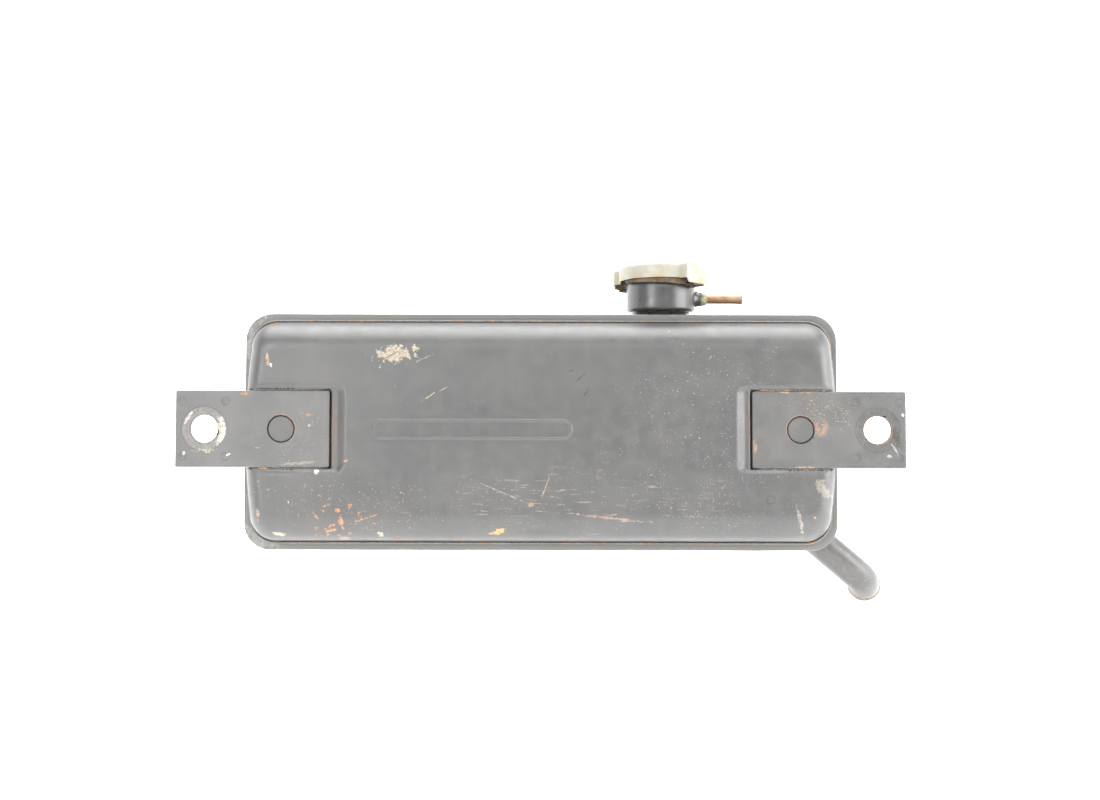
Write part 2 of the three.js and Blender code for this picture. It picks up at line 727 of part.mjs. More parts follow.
function capSpringDisc() {
  const { r, thick, edgeZ, hubZ, hubR, coneR } = DISC;
  const holeR = RIVET.shankR + GAP;
  return turnedAtNeck(
    [
      [holeR, hubZ],
      [hubR, hubZ],
      [coneR, edgeZ],
      [r, edgeZ],
      [r, edgeZ + thick],
      [coneR, edgeZ + thick],
      [hubR, hubZ + thick],
      [holeR, hubZ + thick],
      [holeR, hubZ],
    ],
    40,
  );
}

function capTopGasket() {
  const { innerR, r, bottomZ, thick } = GASKET;
  return turnedAtNeck(ringProfile(innerR, r, bottomZ, bottomZ + thick), 40);
}

function springCage() {
  const { r, wall, topZ, bottomZ, lipR } = CAGE;
  const holeR = RIVET.shankR + GAP;
  return turnedAtNeck(
    [
      [lipR, bottomZ],
      [r, bottomZ],
      [r, topZ],
      [holeR, topZ],
      [holeR, topZ - wall],
      [r - wall, topZ - wall],
      [r - wall, bottomZ + wall],
      [lipR, bottomZ + wall],
      [lipR, bottomZ],
    ],
    36,
  );
}

function pressureSpring() {
  const bottomZ = VALVE.flangeZ + VALVE.wall + GAP;
  const topZ = CAGE.topZ - CAGE.wall - GAP;
  return coilSpring(SPRING, bottomZ, topZ, 12);
}

// The valve plate is a cup: its floor closes on the seat and its upper flange hangs in the cage.
function pressureValvePlate() {
  const { r, discZ, neckR, flangeR, flangeZ, wall } = VALVE;
  const holeR = VACUUM.stemR + GAP;
  const topZ = flangeZ + wall;
  return turnedAtNeck(
    [
      [holeR, discZ],
      [r, discZ],
      [r, discZ + wall],
      [neckR, discZ + wall],
      [neckR, flangeZ],
      [flangeR, flangeZ],
      [flangeR, topZ],
      [neckR - wall, topZ],
      [neckR - wall, discZ + wall],
      [holeR, discZ + wall],
      [holeR, discZ],
    ],
    40,
  );
}

function pressureSeal() {
  const topZ = VALVE.discZ - GAP;
  return turnedAtNeck(ringProfile(SEAL.innerR, SEAL.r, topZ - SEAL.thick, topZ), 40);
}

function vacuumValve() {
  const topZ = VALVE.discZ - GAP;
  return turnedAtNeck(
    [
      [0, topZ - VACUUM.thick],
      [VACUUM.r, topZ - VACUUM.thick],
      [VACUUM.r, topZ],
      [VACUUM.stemR, topZ],
      [VACUUM.stemR, VACUUM.stemTopZ],
      [0, VACUUM.stemTopZ],
    ],
    28,
  );
}

function vacuumSpring() {
  const bottomZ = VALVE.discZ + VALVE.wall + GAP;
  return coilSpring(VACUUM_SPRING, bottomZ, CLIP.z - GAP, 8);
}

function vacuumClip() {
  const innerR = VACUUM.stemR + GAP;
  return turnedAtNeck(ringProfile(innerR, CLIP.r, CLIP.z, CLIP.z + CLIP.thick), 20);
}

// ---- assembly -----------------------------------------------------------------------------------

addPiece("front_shell", frontShell(), STEEL_PAINT);
addPiece("rear_shell", rearShell(), STEEL_PAINT);
addPiece("seam_weld", seamWeld(), STEEL_PAINT);
for (const [side, label] of [
  [-1, "left"],
  [1, "right"],
]) {
  addPiece(`lug_plate_${label}`, lugPlate(side), STEEL_PAINT);
  addPiece(`lug_weld_${label}_upper`, lugWeld(side, 1), RUSTY_STEEL);
  addPiece(`lug_weld_${label}_lower`, lugWeld(side, -1), RUSTY_STEEL);
}
addPiece("neck_throat", neckThroat(), STEEL_PAINT);
addPiece("neck_braze", neckBraze(), STEEL_PAINT);
addPiece("neck_barrel", neckBarrel(), STEEL_PAINT);
addPiece("cam_flange", camFlange(), RUSTY_STEEL);
addPiece("overflow_boss", overflowBoss(), STEEL_PAINT);
addPiece("overflow_pipe", overflowPipe(), COPPER);
addPiece("overflow_collar", overflowCollar(), SOLDER);
addPiece("outlet_pipe", outletPipe(), STEEL_PAINT);
addPiece("outlet_weld", outletWeld(), STEEL_PAINT);
addPiece("cap_shell", capShell(), ZINC);
addPiece("cap_rivet", capRivet(), ZINC);
addPiece("cap_spring_disc", capSpringDisc(), SPRING_STEEL);
addPiece("cap_top_gasket", capTopGasket(), RUBBER);
addPiece("spring_cage", springCage(), BRASS);
addPiece("pressure_spring", pressureSpring(), SPRING_STEEL);
addPiece("pressure_valve_plate", pressureValvePlate(), BRASS);
addPiece("pressure_seal", pressureSeal(), RUBBER);
addPiece("vacuum_valve", vacuumValve(), BRASS);
addPiece("vacuum_spring", vacuumSpring(), SPRING_STEEL);
addPiece("vacuum_clip", vacuumClip(), BRASS);

export default tank;
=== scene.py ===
"""Looks for the coolant expansion tank: its pressed shells, lugs, neck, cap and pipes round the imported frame.

Lengths are in millimetres in this script and are turned into metres when a mesh is made.
+X runs along the tank, +Y from the lug plates into the tank, and +Z up to the filler.
"""
import math

import bmesh
import bpy
import numpy as np
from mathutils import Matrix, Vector, noise
from mathutils.geometry import delaunay_2d_cdt


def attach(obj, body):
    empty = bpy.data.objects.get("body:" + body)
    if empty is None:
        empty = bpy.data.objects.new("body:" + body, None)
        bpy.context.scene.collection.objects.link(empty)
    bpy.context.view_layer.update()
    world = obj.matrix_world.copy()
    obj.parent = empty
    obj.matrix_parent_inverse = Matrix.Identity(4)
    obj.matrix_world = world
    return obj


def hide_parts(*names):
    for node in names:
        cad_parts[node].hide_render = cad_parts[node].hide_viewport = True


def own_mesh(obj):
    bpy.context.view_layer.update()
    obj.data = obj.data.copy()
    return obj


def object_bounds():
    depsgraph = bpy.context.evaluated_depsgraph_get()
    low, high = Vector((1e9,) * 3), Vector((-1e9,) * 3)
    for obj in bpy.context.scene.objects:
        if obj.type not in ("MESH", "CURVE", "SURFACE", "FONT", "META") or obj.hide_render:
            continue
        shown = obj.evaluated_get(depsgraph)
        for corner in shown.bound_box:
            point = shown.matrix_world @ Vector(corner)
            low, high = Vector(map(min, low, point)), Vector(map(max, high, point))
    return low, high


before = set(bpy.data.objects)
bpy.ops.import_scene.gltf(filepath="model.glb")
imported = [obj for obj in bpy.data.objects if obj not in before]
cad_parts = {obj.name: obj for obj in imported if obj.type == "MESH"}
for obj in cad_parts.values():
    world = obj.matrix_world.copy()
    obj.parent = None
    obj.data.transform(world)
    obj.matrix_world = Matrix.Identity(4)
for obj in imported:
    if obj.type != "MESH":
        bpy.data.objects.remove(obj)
cad_low, cad_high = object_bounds()

MM = 0.001
GAP = 0.3  # clearance between pieces that touch, as in the CAD model
SHEET = 1.2

# ---- sizes, as in the CAD model where it has them ------------------------------------------------

TANK_Z = -1.2
SEAM_Y = 22.0
RIM_THICK = 1.6
FRONT_FACE_Y = -5.5
FRONT_CROWN = 3.5
REAR_FACE_Y = 72.0
REAR_CROWN = 2.0
FRONT_DRAFT = 1.4  # how far the side walls lean in before the rounded edge, which is softer than the CAD's
REAR_DRAFT = 0.8
LUG = {"length": 100.0, "height": 50.0, "thick": 4.0, "hole_x": 219.0, "plug_x": 169.0, "hole_r": 9.0}
LUG_CORNER = 1.2
LUG_OUTER_X = 237.5
LUG_INNER_X = 137.5
POCKET_X = 129.8  # middle of the slope at a pocket's inner end
POCKET_HALF_Z = 27.2
POCKET_CORNER = 4.0
POCKET_END_SLOPE = 3.7
POCKET_SIDE_SLOPE = 2.1
BOSS_R = 8.5  # round boss in each pocket, which fills the plate's inner hole
BOSS_Y = -3.2
SPOT_DX = 14.0  # spot weld marks, from the middle of a plate's outer hole
SPOT_DZ = 18.0
SPOTS = [(dx, dz) for dx in (-SPOT_DX, SPOT_DX) for dz in (-SPOT_DZ, SPOT_DZ)]
PANEL = {"x": -44.6, "z": -0.2, "half_x": 65.0, "half_z": 6.4, "line": 1.3, "rise": 0.7}
NECK = Vector((82.0, 43.5, 0.0))
THROAT_R = 17.5
BARREL_R = 23.5
BARREL_LOW = 80.8
BARREL_TOP = 102.0
CAM_R = 26.6
CAM_TOP = 103.5
OVERFLOW_Z = 90.6
OVERFLOW_R = 3.1
BULGE_X = 108.8  # outer end of the bulge from which the overflow pipe comes
OUTLET_R = 10.4
OUTLET_PATH = [
    (171, 46, -59.5), (191.5, 46, -76.8), (206, 46, -89), (213.5, 46.8, -95.3),
    (219.3, 49.6, -100.2), (222.8, 54.5, -103.6), (224.9, 62, -107),
]
OUTLET_AXIS = (0.247, 0.8826, -0.4)  # direction of the outlet's last stretch
CAP_TURN = math.radians(-42)
CAP_R = 28.6
CAP_TOP = 112.0
CAP_SKIRT_Z = 102.4
EAR_R = 32.6
EAR_HALF = 12.5
EAR_LOW = 98.9
TAB_HALF = 6.0
TAB_INNER_R = 24.2
TAB_THICK = 1.4


# ---- small helpers -------------------------------------------------------------------------------


def smooth_step(value, low, high):
    t = np.clip((np.asarray(value, float) - low) / (high - low), 0.0, 1.0)
    return t * t * (3 - 2 * t)


def rumple(points, size, seed=0.0):
    """Smooth noise from -1 to 1 at each point, with features about `size` mm across."""
    shift = Vector((seed, seed * 0.7, -seed))
    return np.array([noise.noise(Vector(p) / size + shift) for p in points])


def add_object(name, data):
    obj = bpy.data.objects.new(name, data)
    bpy.context.scene.collection.objects.link(obj)
    return obj


def make_piece(name, verts, faces, material, body, replaced=(), sharp_deg=None, weld=1e-4):
    """Adds one visible piece, hangs it on its body's empty and hides the CAD nodes it stands for."""
    mesh = bpy.data.meshes.new(name)
    mesh.from_pydata([tuple(float(c) * MM for c in v) for v in verts], [], faces)
    bm = bmesh.new()
    bm.from_mesh(mesh)
    if weld:
        bmesh.ops.remove_doubles(bm, verts=bm.verts, dist=weld * MM)
        bmesh.ops.dissolve_degenerate(bm, edges=bm.edges, dist=weld * MM)
    bmesh.ops.recalc_face_normals(bm, faces=bm.faces)
    bm.to_mesh(mesh)
    bm.free()
    mesh.materials.append(material)
    mesh.shade_smooth()
    if sharp_deg is not None:
        mesh.set_sharp_from_angle(angle=math.radians(sharp_deg))
    obj = add_object(name, mesh)
    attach(obj, body)
    if replaced:
        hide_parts(*replaced)
    return obj


def around(steps):
    """Angles evenly spaced round a full turn."""
    return [2 * math.pi * i / steps for i in range(steps)]


def loft_faces(ring_count, count, closed_stack=False):
    """Quads between successive rings of `count` points each, and from the last to the first if closed."""
    faces = []
    stacks = ring_count if closed_stack else ring_count - 1
    for k in range(stacks):
        low = k * count
        high = ((k + 1) % ring_count) * count
        for i in range(count):
            j = (i + 1) % count
            faces.append((low + i, low + j, high + j, high + i))
    return faces


def end_caps(ring_count, count):
    """Faces that close the first and last ring of a loft."""
    last = (ring_count - 1) * count
    return [tuple(range(count)), tuple(last + k for k in reversed(range(count)))]


def lathe(profile, steps=96, warp=None):
    """Verts and faces of a closed profile of (radius, height) pairs turned about the neck's axis."""
    verts = []
    for r, z in profile:
        for a in around(steps):
            rr, zz = (r, z) if warp is None else warp(r, z, a)
            verts.append((NECK.x + rr * math.cos(a), NECK.y + rr * math.sin(a), zz))
    return verts, loft_faces(len(profile), steps, True)


def sweep(path, profile, steps):
    """Sweeps closed (radius, distance) rings along a path of (point, tangent, side) frames."""
    verts = []
    for r, along in profile:
        point, tangent, side = path(along)
        up = tangent.cross(side)
        for a in around(steps):
            verts.append(tuple(point + side * (r * math.cos(a)) + up * (r * math.sin(a))))
    return verts, loft_faces(len(profile), steps, True)


def rounded(profile, radius, steps=4):
    """Rounds the corners of a closed (r, z) profile with small fillets."""
    out = []
    n = len(profile)
    for i in range(n):
        p0, p1, p2 = (np.array(profile[k % n], float) for k in (i - 1, i, i + 1))
        a, b = p0 - p1, p2 - p1
        la, lb = np.linalg.norm(a), np.linalg.norm(b)
        if la < 1e-9 or lb < 1e-9:
            continue
        cut = min(radius, 0.45 * la, 0.45 * lb)
        s, e = p1 + a / la * cut, p1 + b / lb * cut
        for k in range(steps + 1):
            t = k / steps
            out.append(tuple((1 - t) ** 2 * s + 2 * t * (1 - t) * p1 + t ** 2 * e))
    return out


# ---- materials -----------------------------------------------------------------------------------


class Nodes:
    """Shorthand for building one material's node tree."""

    def __init__(self, name):
        self.material = bpy.data.materials.new(name)
        self.material.use_nodes = True
        self.tree = self.material.node_tree
        self.bsdf = self.tree.nodes["Principled BSDF"]
        self.place = self.add("ShaderNodeTexCoord").outputs["Object"]

    def add(self, kind, **settings):
        node = self.tree.nodes.new(kind)
        for key, value in settings.items():
            setattr(node, key, value)
        return node

    def put(self, socket, value):
        if isinstance(value, bpy.types.NodeSocket):
            self.tree.links.new(value, socket)
        else:
            socket.default_value = value

    def noise(self, size_mm, detail=4.0, rough=0.55, stretch=(1, 1, 1), shift=(0, 0, 0), warp=0.0):
        mapping = self.add("ShaderNodeMapping")
        self.put(mapping.inputs["Vector"], self.place)
        mapping.inputs["Scale"].default_value = stretch
        mapping.inputs["Location"].default_value = shift
        tex = self.add("ShaderNodeTexNoise")
        self.put(tex.inputs["Vector"], mapping.outputs[0])
        tex.inputs["Scale"].default_value = 1.0 / (size_mm * MM)
        tex.inputs["Detail"].default_value = detail
        tex.inputs["Roughness"].default_value = rough
        tex.inputs["Distortion"].default_value = warp
        return tex.outputs[0]

    def ramp(self, value, low, high, to_low=0.0, to_high=1.0):
        node = self.add("ShaderNodeMapRange", interpolation_type="SMOOTHSTEP")
        self.put(node.inputs["Value"], value)
        for key, number in (("From Min", low), ("From Max", high), ("To Min", to_low), ("To Max", to_high)):
            node.inputs[key].default_value = number
        return node.outputs[0]

    def math(self, op, a, b=None, clamp=False):
        node = self.add("ShaderNodeMath", operation=op, use_clamp=clamp)
        self.put(node.inputs[0], a)
        if b is not None:
            self.put(node.inputs[1], b)
        return node.outputs[0]

    def mix(self, factor, a, b):
        node = self.add("ShaderNodeMix", data_type="RGBA")
        self.put(node.inputs["Factor"], factor)
        self.put(node.inputs["A"], a if isinstance(a, bpy.types.NodeSocket) else (*a, 1.0))
        self.put(node.inputs["B"], b if isinstance(b, bpy.types.NodeSocket) else (*b, 1.0))
        return node.outputs["Result"]

    def times(self, a, b):
        return self.math("MULTIPLY", a, b)

    def axes(self):
        """The place's X, Y and Z, in metres."""
        parts = self.add("ShaderNodeSeparateXYZ")
        self.put(parts.inputs[0], self.place)
        return parts.outputs

    def finish(self, colour, rough, bump=None, distance=0.1, strength=1.0):
        self.put(self.bsdf.inputs["Base Color"], colour)
        self.put(self.bsdf.inputs["Roughness"], rough)
        if bump is not None:
            node = self.add("ShaderNodeBump")
            node.inputs["Distance"].default_value = distance * MM
            node.inputs["Strength"].default_value = strength
            self.put(node.inputs["Height"], bump)
            self.put(self.bsdf.inputs["Normal"], node.outputs[0])
        return self.material


def rust_material(name, dark=(0.05, 0.03, 0.02), light=(0.32, 0.15, 0.07)):
    n = Nodes(name)
    patch = n.noise(6, 5.0, 0.65)
    grain = n.noise(0.8, 4.0, 0.7)
    colour = n.mix(n.ramp(patch, 0.35, 0.68), dark, light)
    colour = n.mix(n.ramp(grain, 0.55, 0.75, 0.0, 0.5), colour, (0.20, 0.135, 0.085))
    return n.finish(colour, n.ramp(grain, 0.2, 0.8, 0.6, 0.9), grain, distance=0.25, strength=0.6)


def metal_material(name, light, dark, rough, size=8, stretch=(1, 1, 1), metal=1.0):
    n = Nodes(name)
    patch = n.noise(size, 5.0, 0.6, stretch)
    grain = n.noise(1.0, 3.0, 0.6)
    colour = n.mix(n.ramp(patch, 0.35, 0.7), light, dark)
    roughness = n.ramp(grain, 0.2, 0.8, rough - 0.08, rough + 0.12)
    n.bsdf.inputs["Metallic"].default_value = metal
    return n.finish(colour, roughness, grain, distance=0.08, strength=0.4)


def rubber_material(name):
    n = Nodes(name)
    patch = n.noise(10, 4.0)
    grain = n.noise(0.7, 2.0)
    colour = n.mix(n.ramp(patch, 0.3, 0.75), (0.012, 0.012, 0.012), (0.045, 0.043, 0.04))
    return n.finish(colour, n.ramp(grain, 0.2, 0.8, 0.65, 0.85), grain, distance=0.08, strength=0.4)


def flecks(n, size, amount, shift=(0, 0, 0), stretch=(1, 1, 1)):
    """Small ragged spots; `amount` from 0 to 1 sets how many there are."""
    tex = n.noise(size, 3.0, 0.62, stretch, shift)
    edge = 0.78 - 0.2 * amount
    return n.ramp(tex, edge, edge + 0.035)


FLAT = 10.0  # metres; so long that a place's Y makes no difference


def reach(n, x, z, rx, rz, turn=0.0):
    """Distance from a point on the XZ plane, in half widths of the ellipse round it."""
    mapping = n.add("ShaderNodeMapping", vector_type="TEXTURE")
    n.put(mapping.inputs["Vector"], n.place)
    mapping.inputs["Location"].default_value = (x * MM, 0, z * MM)
    mapping.inputs["Rotation"].default_value = (0, math.radians(-turn), 0)
    mapping.inputs["Scale"].default_value = (rx * MM, FLAT, rz * MM)
    length = n.add("ShaderNodeVectorMath", operation="LENGTH")
    n.put(length.inputs[0], mapping.outputs[0])
    return length.outputs["Value"]


def near(n, x, z, rx, rz, turn, ragged, soft, texture):
    """1 inside a ragged ellipse on the XZ plane, in millimetres, and 0 outside it."""
    uneven = n.times(n.math("SUBTRACT", texture, 0.5), ragged * 6)
    return n.ramp(n.math("ADD", reach(n, x, z, rx, rz, turn), uneven), 1 + soft / 2, 1 - soft / 2)


def ring_near(n, x, z, inner, outer, soft):
    """1 between two radii, in millimetres, round a point on the XZ plane."""
    value = reach(n, x, z, 1, 1)
    return n.times(n.ramp(value, inner - soft, inner + soft), n.ramp(value, outer + soft, outer - soft))


def marks(n, texture, rows):
    """A ragged mark for each row of `near`'s numbers, x to soft, with its colour."""
    return [(near(n, *area, texture), paint) for *area, paint in rows]


def spatter(n, texture, rows):
    """Spots within a ragged area, for each row of (spots, share, the area as for `near`, colour)."""
    masks = []
    for spots, share, area, paint in rows:
        masks.append((n.times(n.times(spots, share), near(n, *area, texture)), paint))
    return masks


TAN = (0.25, 0.165, 0.095)
ORANGE = (0.34, 0.14, 0.045)
CREAM = (0.33, 0.29, 0.215)
PINK = (0.24, 0.145, 0.10)
WHITE = (0.46, 0.45, 0.41)
DARK = (0.02, 0.018, 0.016)
RUST = (0.13, 0.06, 0.03)


def paint_material(name, tone=0.052, rough=0.40, dusty=0.5, extra=None, shine=0.5):
    """Satin black paint, greyed by age, with dust, fine specks and whatever `extra` adds."""
    n = Nodes(name)
    cloud = n.noise(55, 3.0)
    mottle = n.noise(9, 4.0, 0.6)
    grain = n.noise(1.1, 2.0)
    base = n.mix(n.ramp(cloud, 0.3, 0.7), (tone * 0.86,) * 3, (tone * 1.14, tone * 1.12, tone * 1.09))
    n.bsdf.inputs["Specular IOR Level"].default_value = shine
    base = n.mix(n.ramp(mottle, 0.42, 0.72, 0.0, 0.35), base, (tone * 1.5, tone * 1.46, tone * 1.38))
    dust = flecks(n, 1.7, 0.30)
    colour = n.mix(n.times(dust, dusty), base, (0.19, 0.175, 0.15))
    roughness = n.ramp(mottle, 0.25, 0.75, rough - 0.06, rough + 0.10)
    height = n.math("ADD", grain, n.times(mottle, 1.5))
    if extra:
        colour, roughness = extra(n, colour, roughness)
    return n.finish(colour, roughness, height, distance=0.05, strength=0.35)


def layered(n, colour, masks):
    """Each mark in turn, broken up so that paint shows through it."""
    worn = n.noise(1.3, 4.0, 0.7, (1, 1, 1), (0.6, 0.6, 0.1))
    show = n.ramp(worn, 0.36, 0.60, 0.25, 1.0)
    for mask, paint in masks:
        colour = n.mix(n.times(mask, show), colour, paint)
    return colour


def front_wear_and_painted_shade(n, colour, roughness):
    """Chips, scratches and rust spots of the front shell, where the real one has them, and painted shade at the
    lug pockets' inner ends.
    """
    rag = n.noise(3.2, 5.0, 0.65)
    fine = n.noise(1.1, 4.0, 0.6)
    small = flecks(n, 1.9, 0.66, (0.3, 0.1, 0.2))
    tiny = flecks(n, 1.0, 0.62, (0.7, 0.2, 0.4))
    chips = flecks(n, 4.2, 0.80, (0.11, 0.5, 0.9))
    scratch = flecks(n, 1.4, 0.85, (0.2, 0.1, 0.6), (0.10, 1, 1.1))
    broad = n.noise(30, 2.0, 0.5, (1, 1, 1), (0.4, 0.1, 0.3))
    streak = n.noise(14, 3.0, 0.6, (1, 1, 0.22), (0.9, 0.1, 0.3))
    low = n.mix(n.ramp(streak, 0.45, 0.75, 0.0, 0.08), colour, (0.12, 0.115, 0.105))
    masks = spatter(n, broad, (
        (tiny, 0.75, (106, 8, 48, 48, 0, 0.5, 0.9), WHITE),
        (tiny, 0.8, (130, -52, 60, 20, 0, 0.5, 0.9), CREAM),
        (tiny, 0.6, (-95, -52, 85, 22, 0, 0.5, 0.9), CREAM),
        (small, 1.0, (-120, -52, 62, 19, 0, 0.5, 0.8), TAN),
        (chips, 1.0, (-132, -57, 30, 13, 0, 0.4, 0.7), ORANGE),
        (small, 0.7, (20, -48, 110, 22, 0, 0.5, 0.9), PINK),
        (scratch, 0.7, (20, -46, 75, 20, 0, 0.5, 0.9), (0.19, 0.165, 0.13)),
    ))
    masks += spatter(n, rag, ((scratch, 0.8, (50, -57.5, 24, 1.7, -7, 0.5, 0.7), (0.28, 0.19, 0.14)),))
    masks += marks(n, rag, (
        (47, -57.5, 17, 0.7, -6, 0.9, 0.6, (0.24, 0.155, 0.115)),
        (-95, 48.6, 11.5, 4.6, 8, 0.75, 0.3, CREAM),
    ))
    masks += spatter(n, rag, ((n.ramp(fine, 0.45, 0.62), 1.0, (-95, 48.6, 11, 4.2, 8, 0.75, 0.3), TAN),))
    masks += marks(n, rag, (
        (-99, 47.2, 7.5, 0.55, 28, 0.5, 0.4, (0.09, 0.05, 0.03)),
        (-177.5, 44.6, 1.0, 3.9, 4, 0.8, 0.4, TAN),
        (-175.4, 41.2, 0.8, 1.3, 10, 0.5, 0.4, WHITE),
        (-72, 21.4, 4.6, 0.42, 35, 0.5, 0.4, (0.30, 0.22, 0.12)),
        (-64, 25.5, 3.0, 0.3, 32, 0.5, 0.4, (0.22, 0.18, 0.13)),
        (-145.2, -27.6, 1.7, 1.5, 0, 0.25, 0.3, WHITE),
        (-163.3, -47.3, 0.35, 1.0, 20, 0.3, 0.4, WHITE),
        (-126.2, -20.6, 1.9, 0.8, 8, 0.5, 0.4, (0.36, 0.13, 0.05)),
        (-128.5, -71.5, 3.0, 1.2, 10, 0.6, 0.4, TAN),
        (-170.6, -68.3, 3.4, 1.3, -8, 0.6, 0.4, CREAM),
        (-28, -66.4, 4.4, 1.6, 12, 0.7, 0.4, (0.40, 0.24, 0.06)),
        (-111, -57.0, 9.0, 0.55, 19, 1.0, 0.4, ORANGE),
        (-136, -66.0, 3.5, 0.8, 12, 0.8, 0.4, ORANGE),
        (-129, -60.5, 1.3, 3.6, 15, 0.8, 0.4, ORANGE),
        (-132, -52.5, 2.2, 1.0, -25, 0.8, 0.4, ORANGE),
        (-104.5, -68.3, 2.2, 1.6, 0, 0.5, 0.4, CREAM),
        (-183.3, -54.7, 1.2, 3.0, 0, 0.8, 0.4, TAN),
        (-6.5, -48.8, 1.8, 1.5, 0, 0.6, 0.4, TAN),
        (-22.7, -41.8, 17.0, 0.3, -23, 1.0, 0.4, (0.20, 0.18, 0.15)),
        (3.5, -36.5, 0.35, 6.5, -20, 1.0, 0.4, TAN),
        (-76, 46, 7.0, 0.5, 24, 0.9, 0.5, (0.16, 0.15, 0.135)),
        (19.0, 38, 3.6, 0.45, 12, 0.9, 0.3, DARK),
        (25.0, 33, 5.5, 0.45, 40, 0.9, 0.3, DARK),
        (29.5, 24, 3.2, 0.4, 58, 0.9, 0.3, DARK),
        (177.6, -56.8, 0.75, 0.75, 0, 0.3, 0.4, (0.40, 0.18, 0.08)),
    ))
    masks.append((n.times(ring_near(n, 148.8, -45.2, 2.2, 3.1, 0.45), 0.65), DARK))
    masks += marks(n, rag, (
        (168.0, -58, 1.0, 9.5, 14, 1.0, 0.5, (0.21, 0.195, 0.17)),
        (183.0, -38, 2.6, 6.0, 40, 1.0, 0.6, (0.17, 0.155, 0.13)),
    ))
    colour = layered(n, low, masks)
    # Rust specks in the lug pockets, and a dark brown strip at each pocket's inner end, between its slope and
    # the plate's edge: partly rust, partly painted shade of that gap.
    for side in (-1, 1):
        pocket = near(n, side * 160, 0, 31, 30.5, 0, 0.12, 0.10, broad)
        inner = near(n, side * 135.6, 0, 3.2, 28, 0, 0.3, 0.5, broad)
        rust_and_painted_shade = n.times(n.ramp(rag, 0.38, 0.62, 0.15, 0.9), n.times(pocket, inner))
        colour = n.mix(rust_and_painted_shade, colour, (0.085, 0.05, 0.035))
        colour = n.mix(n.times(n.times(small, 0.8), pocket), colour, RUST)
    return colour, roughness


def left_plate_marks(n, hole, ring, rag, broad, tiny, small):
    """Bare bright metal round the left plate's hole, and its chips."""
    bright = n.times(ring, n.ramp(rag, 0.30, 0.60, 0.25, 0.8))
    outer_part = ring_near(n, hole, 0, 11.0, 14.6, 0.6)
    inner_part = ring_near(n, hole, 0, 9.0, 10.6, 0.5)
    masks = [(bright, (0.17, 0.165, 0.152))]
    masks += spatter(n, rag, (
        (outer_part, 1.0, (hole + 12.5, -2, 5, 9, 0, 0.5, 0.6), WHITE),
        (inner_part, 1.0, (hole + 10.5, -1, 3, 4, 0, 0.5, 0.5), (0.40, 0.36, 0.20)),
    ))
    masks += marks(n, rag, (
        (hole + 1.5, -14.2, 6.5, 1.0, 4, 0.9, 0.4, CREAM),
        (hole - 10.0, 7.0, 1.0, 4.2, -32, 0.9, 0.4, WHITE),
    ))
    masks += spatter(n, broad, (
        (small, 1.0, (-151, 6.6, 9, 4.5, 0, 0.5, 0.6), TAN),
        (tiny, 1.0, (-152, -14, 26, 10, 0, 0.5, 0.8), CREAM),
    ))
    return masks + marks(n, rag, (
        (-151.2, 9.4, 1.4, 0.9, 0, 0.5, 0.4, ORANGE),
        (-150.6, 2.3, 0.8, 0.8, 0, 0.3, 0.4, WHITE),
        (-184.3, -12.2, 2.0, 0.7, 0, 0.6, 0.4, ORANGE),
        (-162.6, -4.6, 0.7, 0.7, 0, 0.3, 0.4, WHITE),
        (-203.2, -16.8, 1.3, 0.8, 12, 0.4, 0.4, WHITE),
        (-231.9, -16.0, 0.9, 1.1, 0, 0.4, 0.4, WHITE),
        (-192.4, 23.0, 3.0, 0.9, 0, 0.6, 0.4, ORANGE),
        (-157.5, -22.3, 8.0, 0.9, 4, 1.0, 0.5, (0.20, 0.18, 0.145)),
    ))


def right_plate_marks(n, hole, ring, rag, broad, tiny, small):
    """The washer's dark print round the right plate's hole, and its chips."""
    dark_print = n.times(ring, n.ramp(rag, 0.35, 0.65, 0.15, 0.7))
    masks = [(dark_print, (0.045, 0.042, 0.038))]
    masks += marks(n, rag, (
        (hole + 11.5, -4, 2.6, 6.0, 20, 0.8, 0.6, (0.035, 0.032, 0.028)),
        (hole + 11.0, -12.5, 0.6, 4.6, 32, 0.9, 0.4, (0.30, 0.29, 0.27)),
        (hole + 7.0, -17.0, 1.6, 1.0, -12, 0.9, 0.4, (0.32, 0.31, 0.29)),
    ))
    masks += spatter(n, broad, (
        (small, 1.0, (178, 14.5, 21, 9, -12, 0.5, 0.7), TAN),
        (tiny, 1.0, (186, 8, 18, 12, 0, 0.5, 0.8), CREAM),
    ))
    beside_boss = (LUG["plug_x"] + 13, 1.5, 5.0, 6.0, 0, 0.5, 0.6)
    masks += spatter(n, rag, ((n.ramp(rag, 0.40, 0.56), 1.0, beside_boss, (0.25, 0.15, 0.095)),))
    return masks + marks(n, rag, (
        (138.8, -11.5, 1.2, 4.5, 0, 0.8, 0.4, PINK),
        (174.5, 24.6, 6.0, 0.6, 0, 0.9, 0.5, ORANGE),
        (158.0, 24.4, 2.6, 0.5, 0, 0.7, 0.4, CREAM),
        (235.3, 9.6, 0.9, 1.1, 0, 0.4, 0.4, WHITE),
        (171.0, -24.6, 6.5, 0.6, 0, 1.0, 0.5, (0.28, 0.19, 0.12)),
    ))


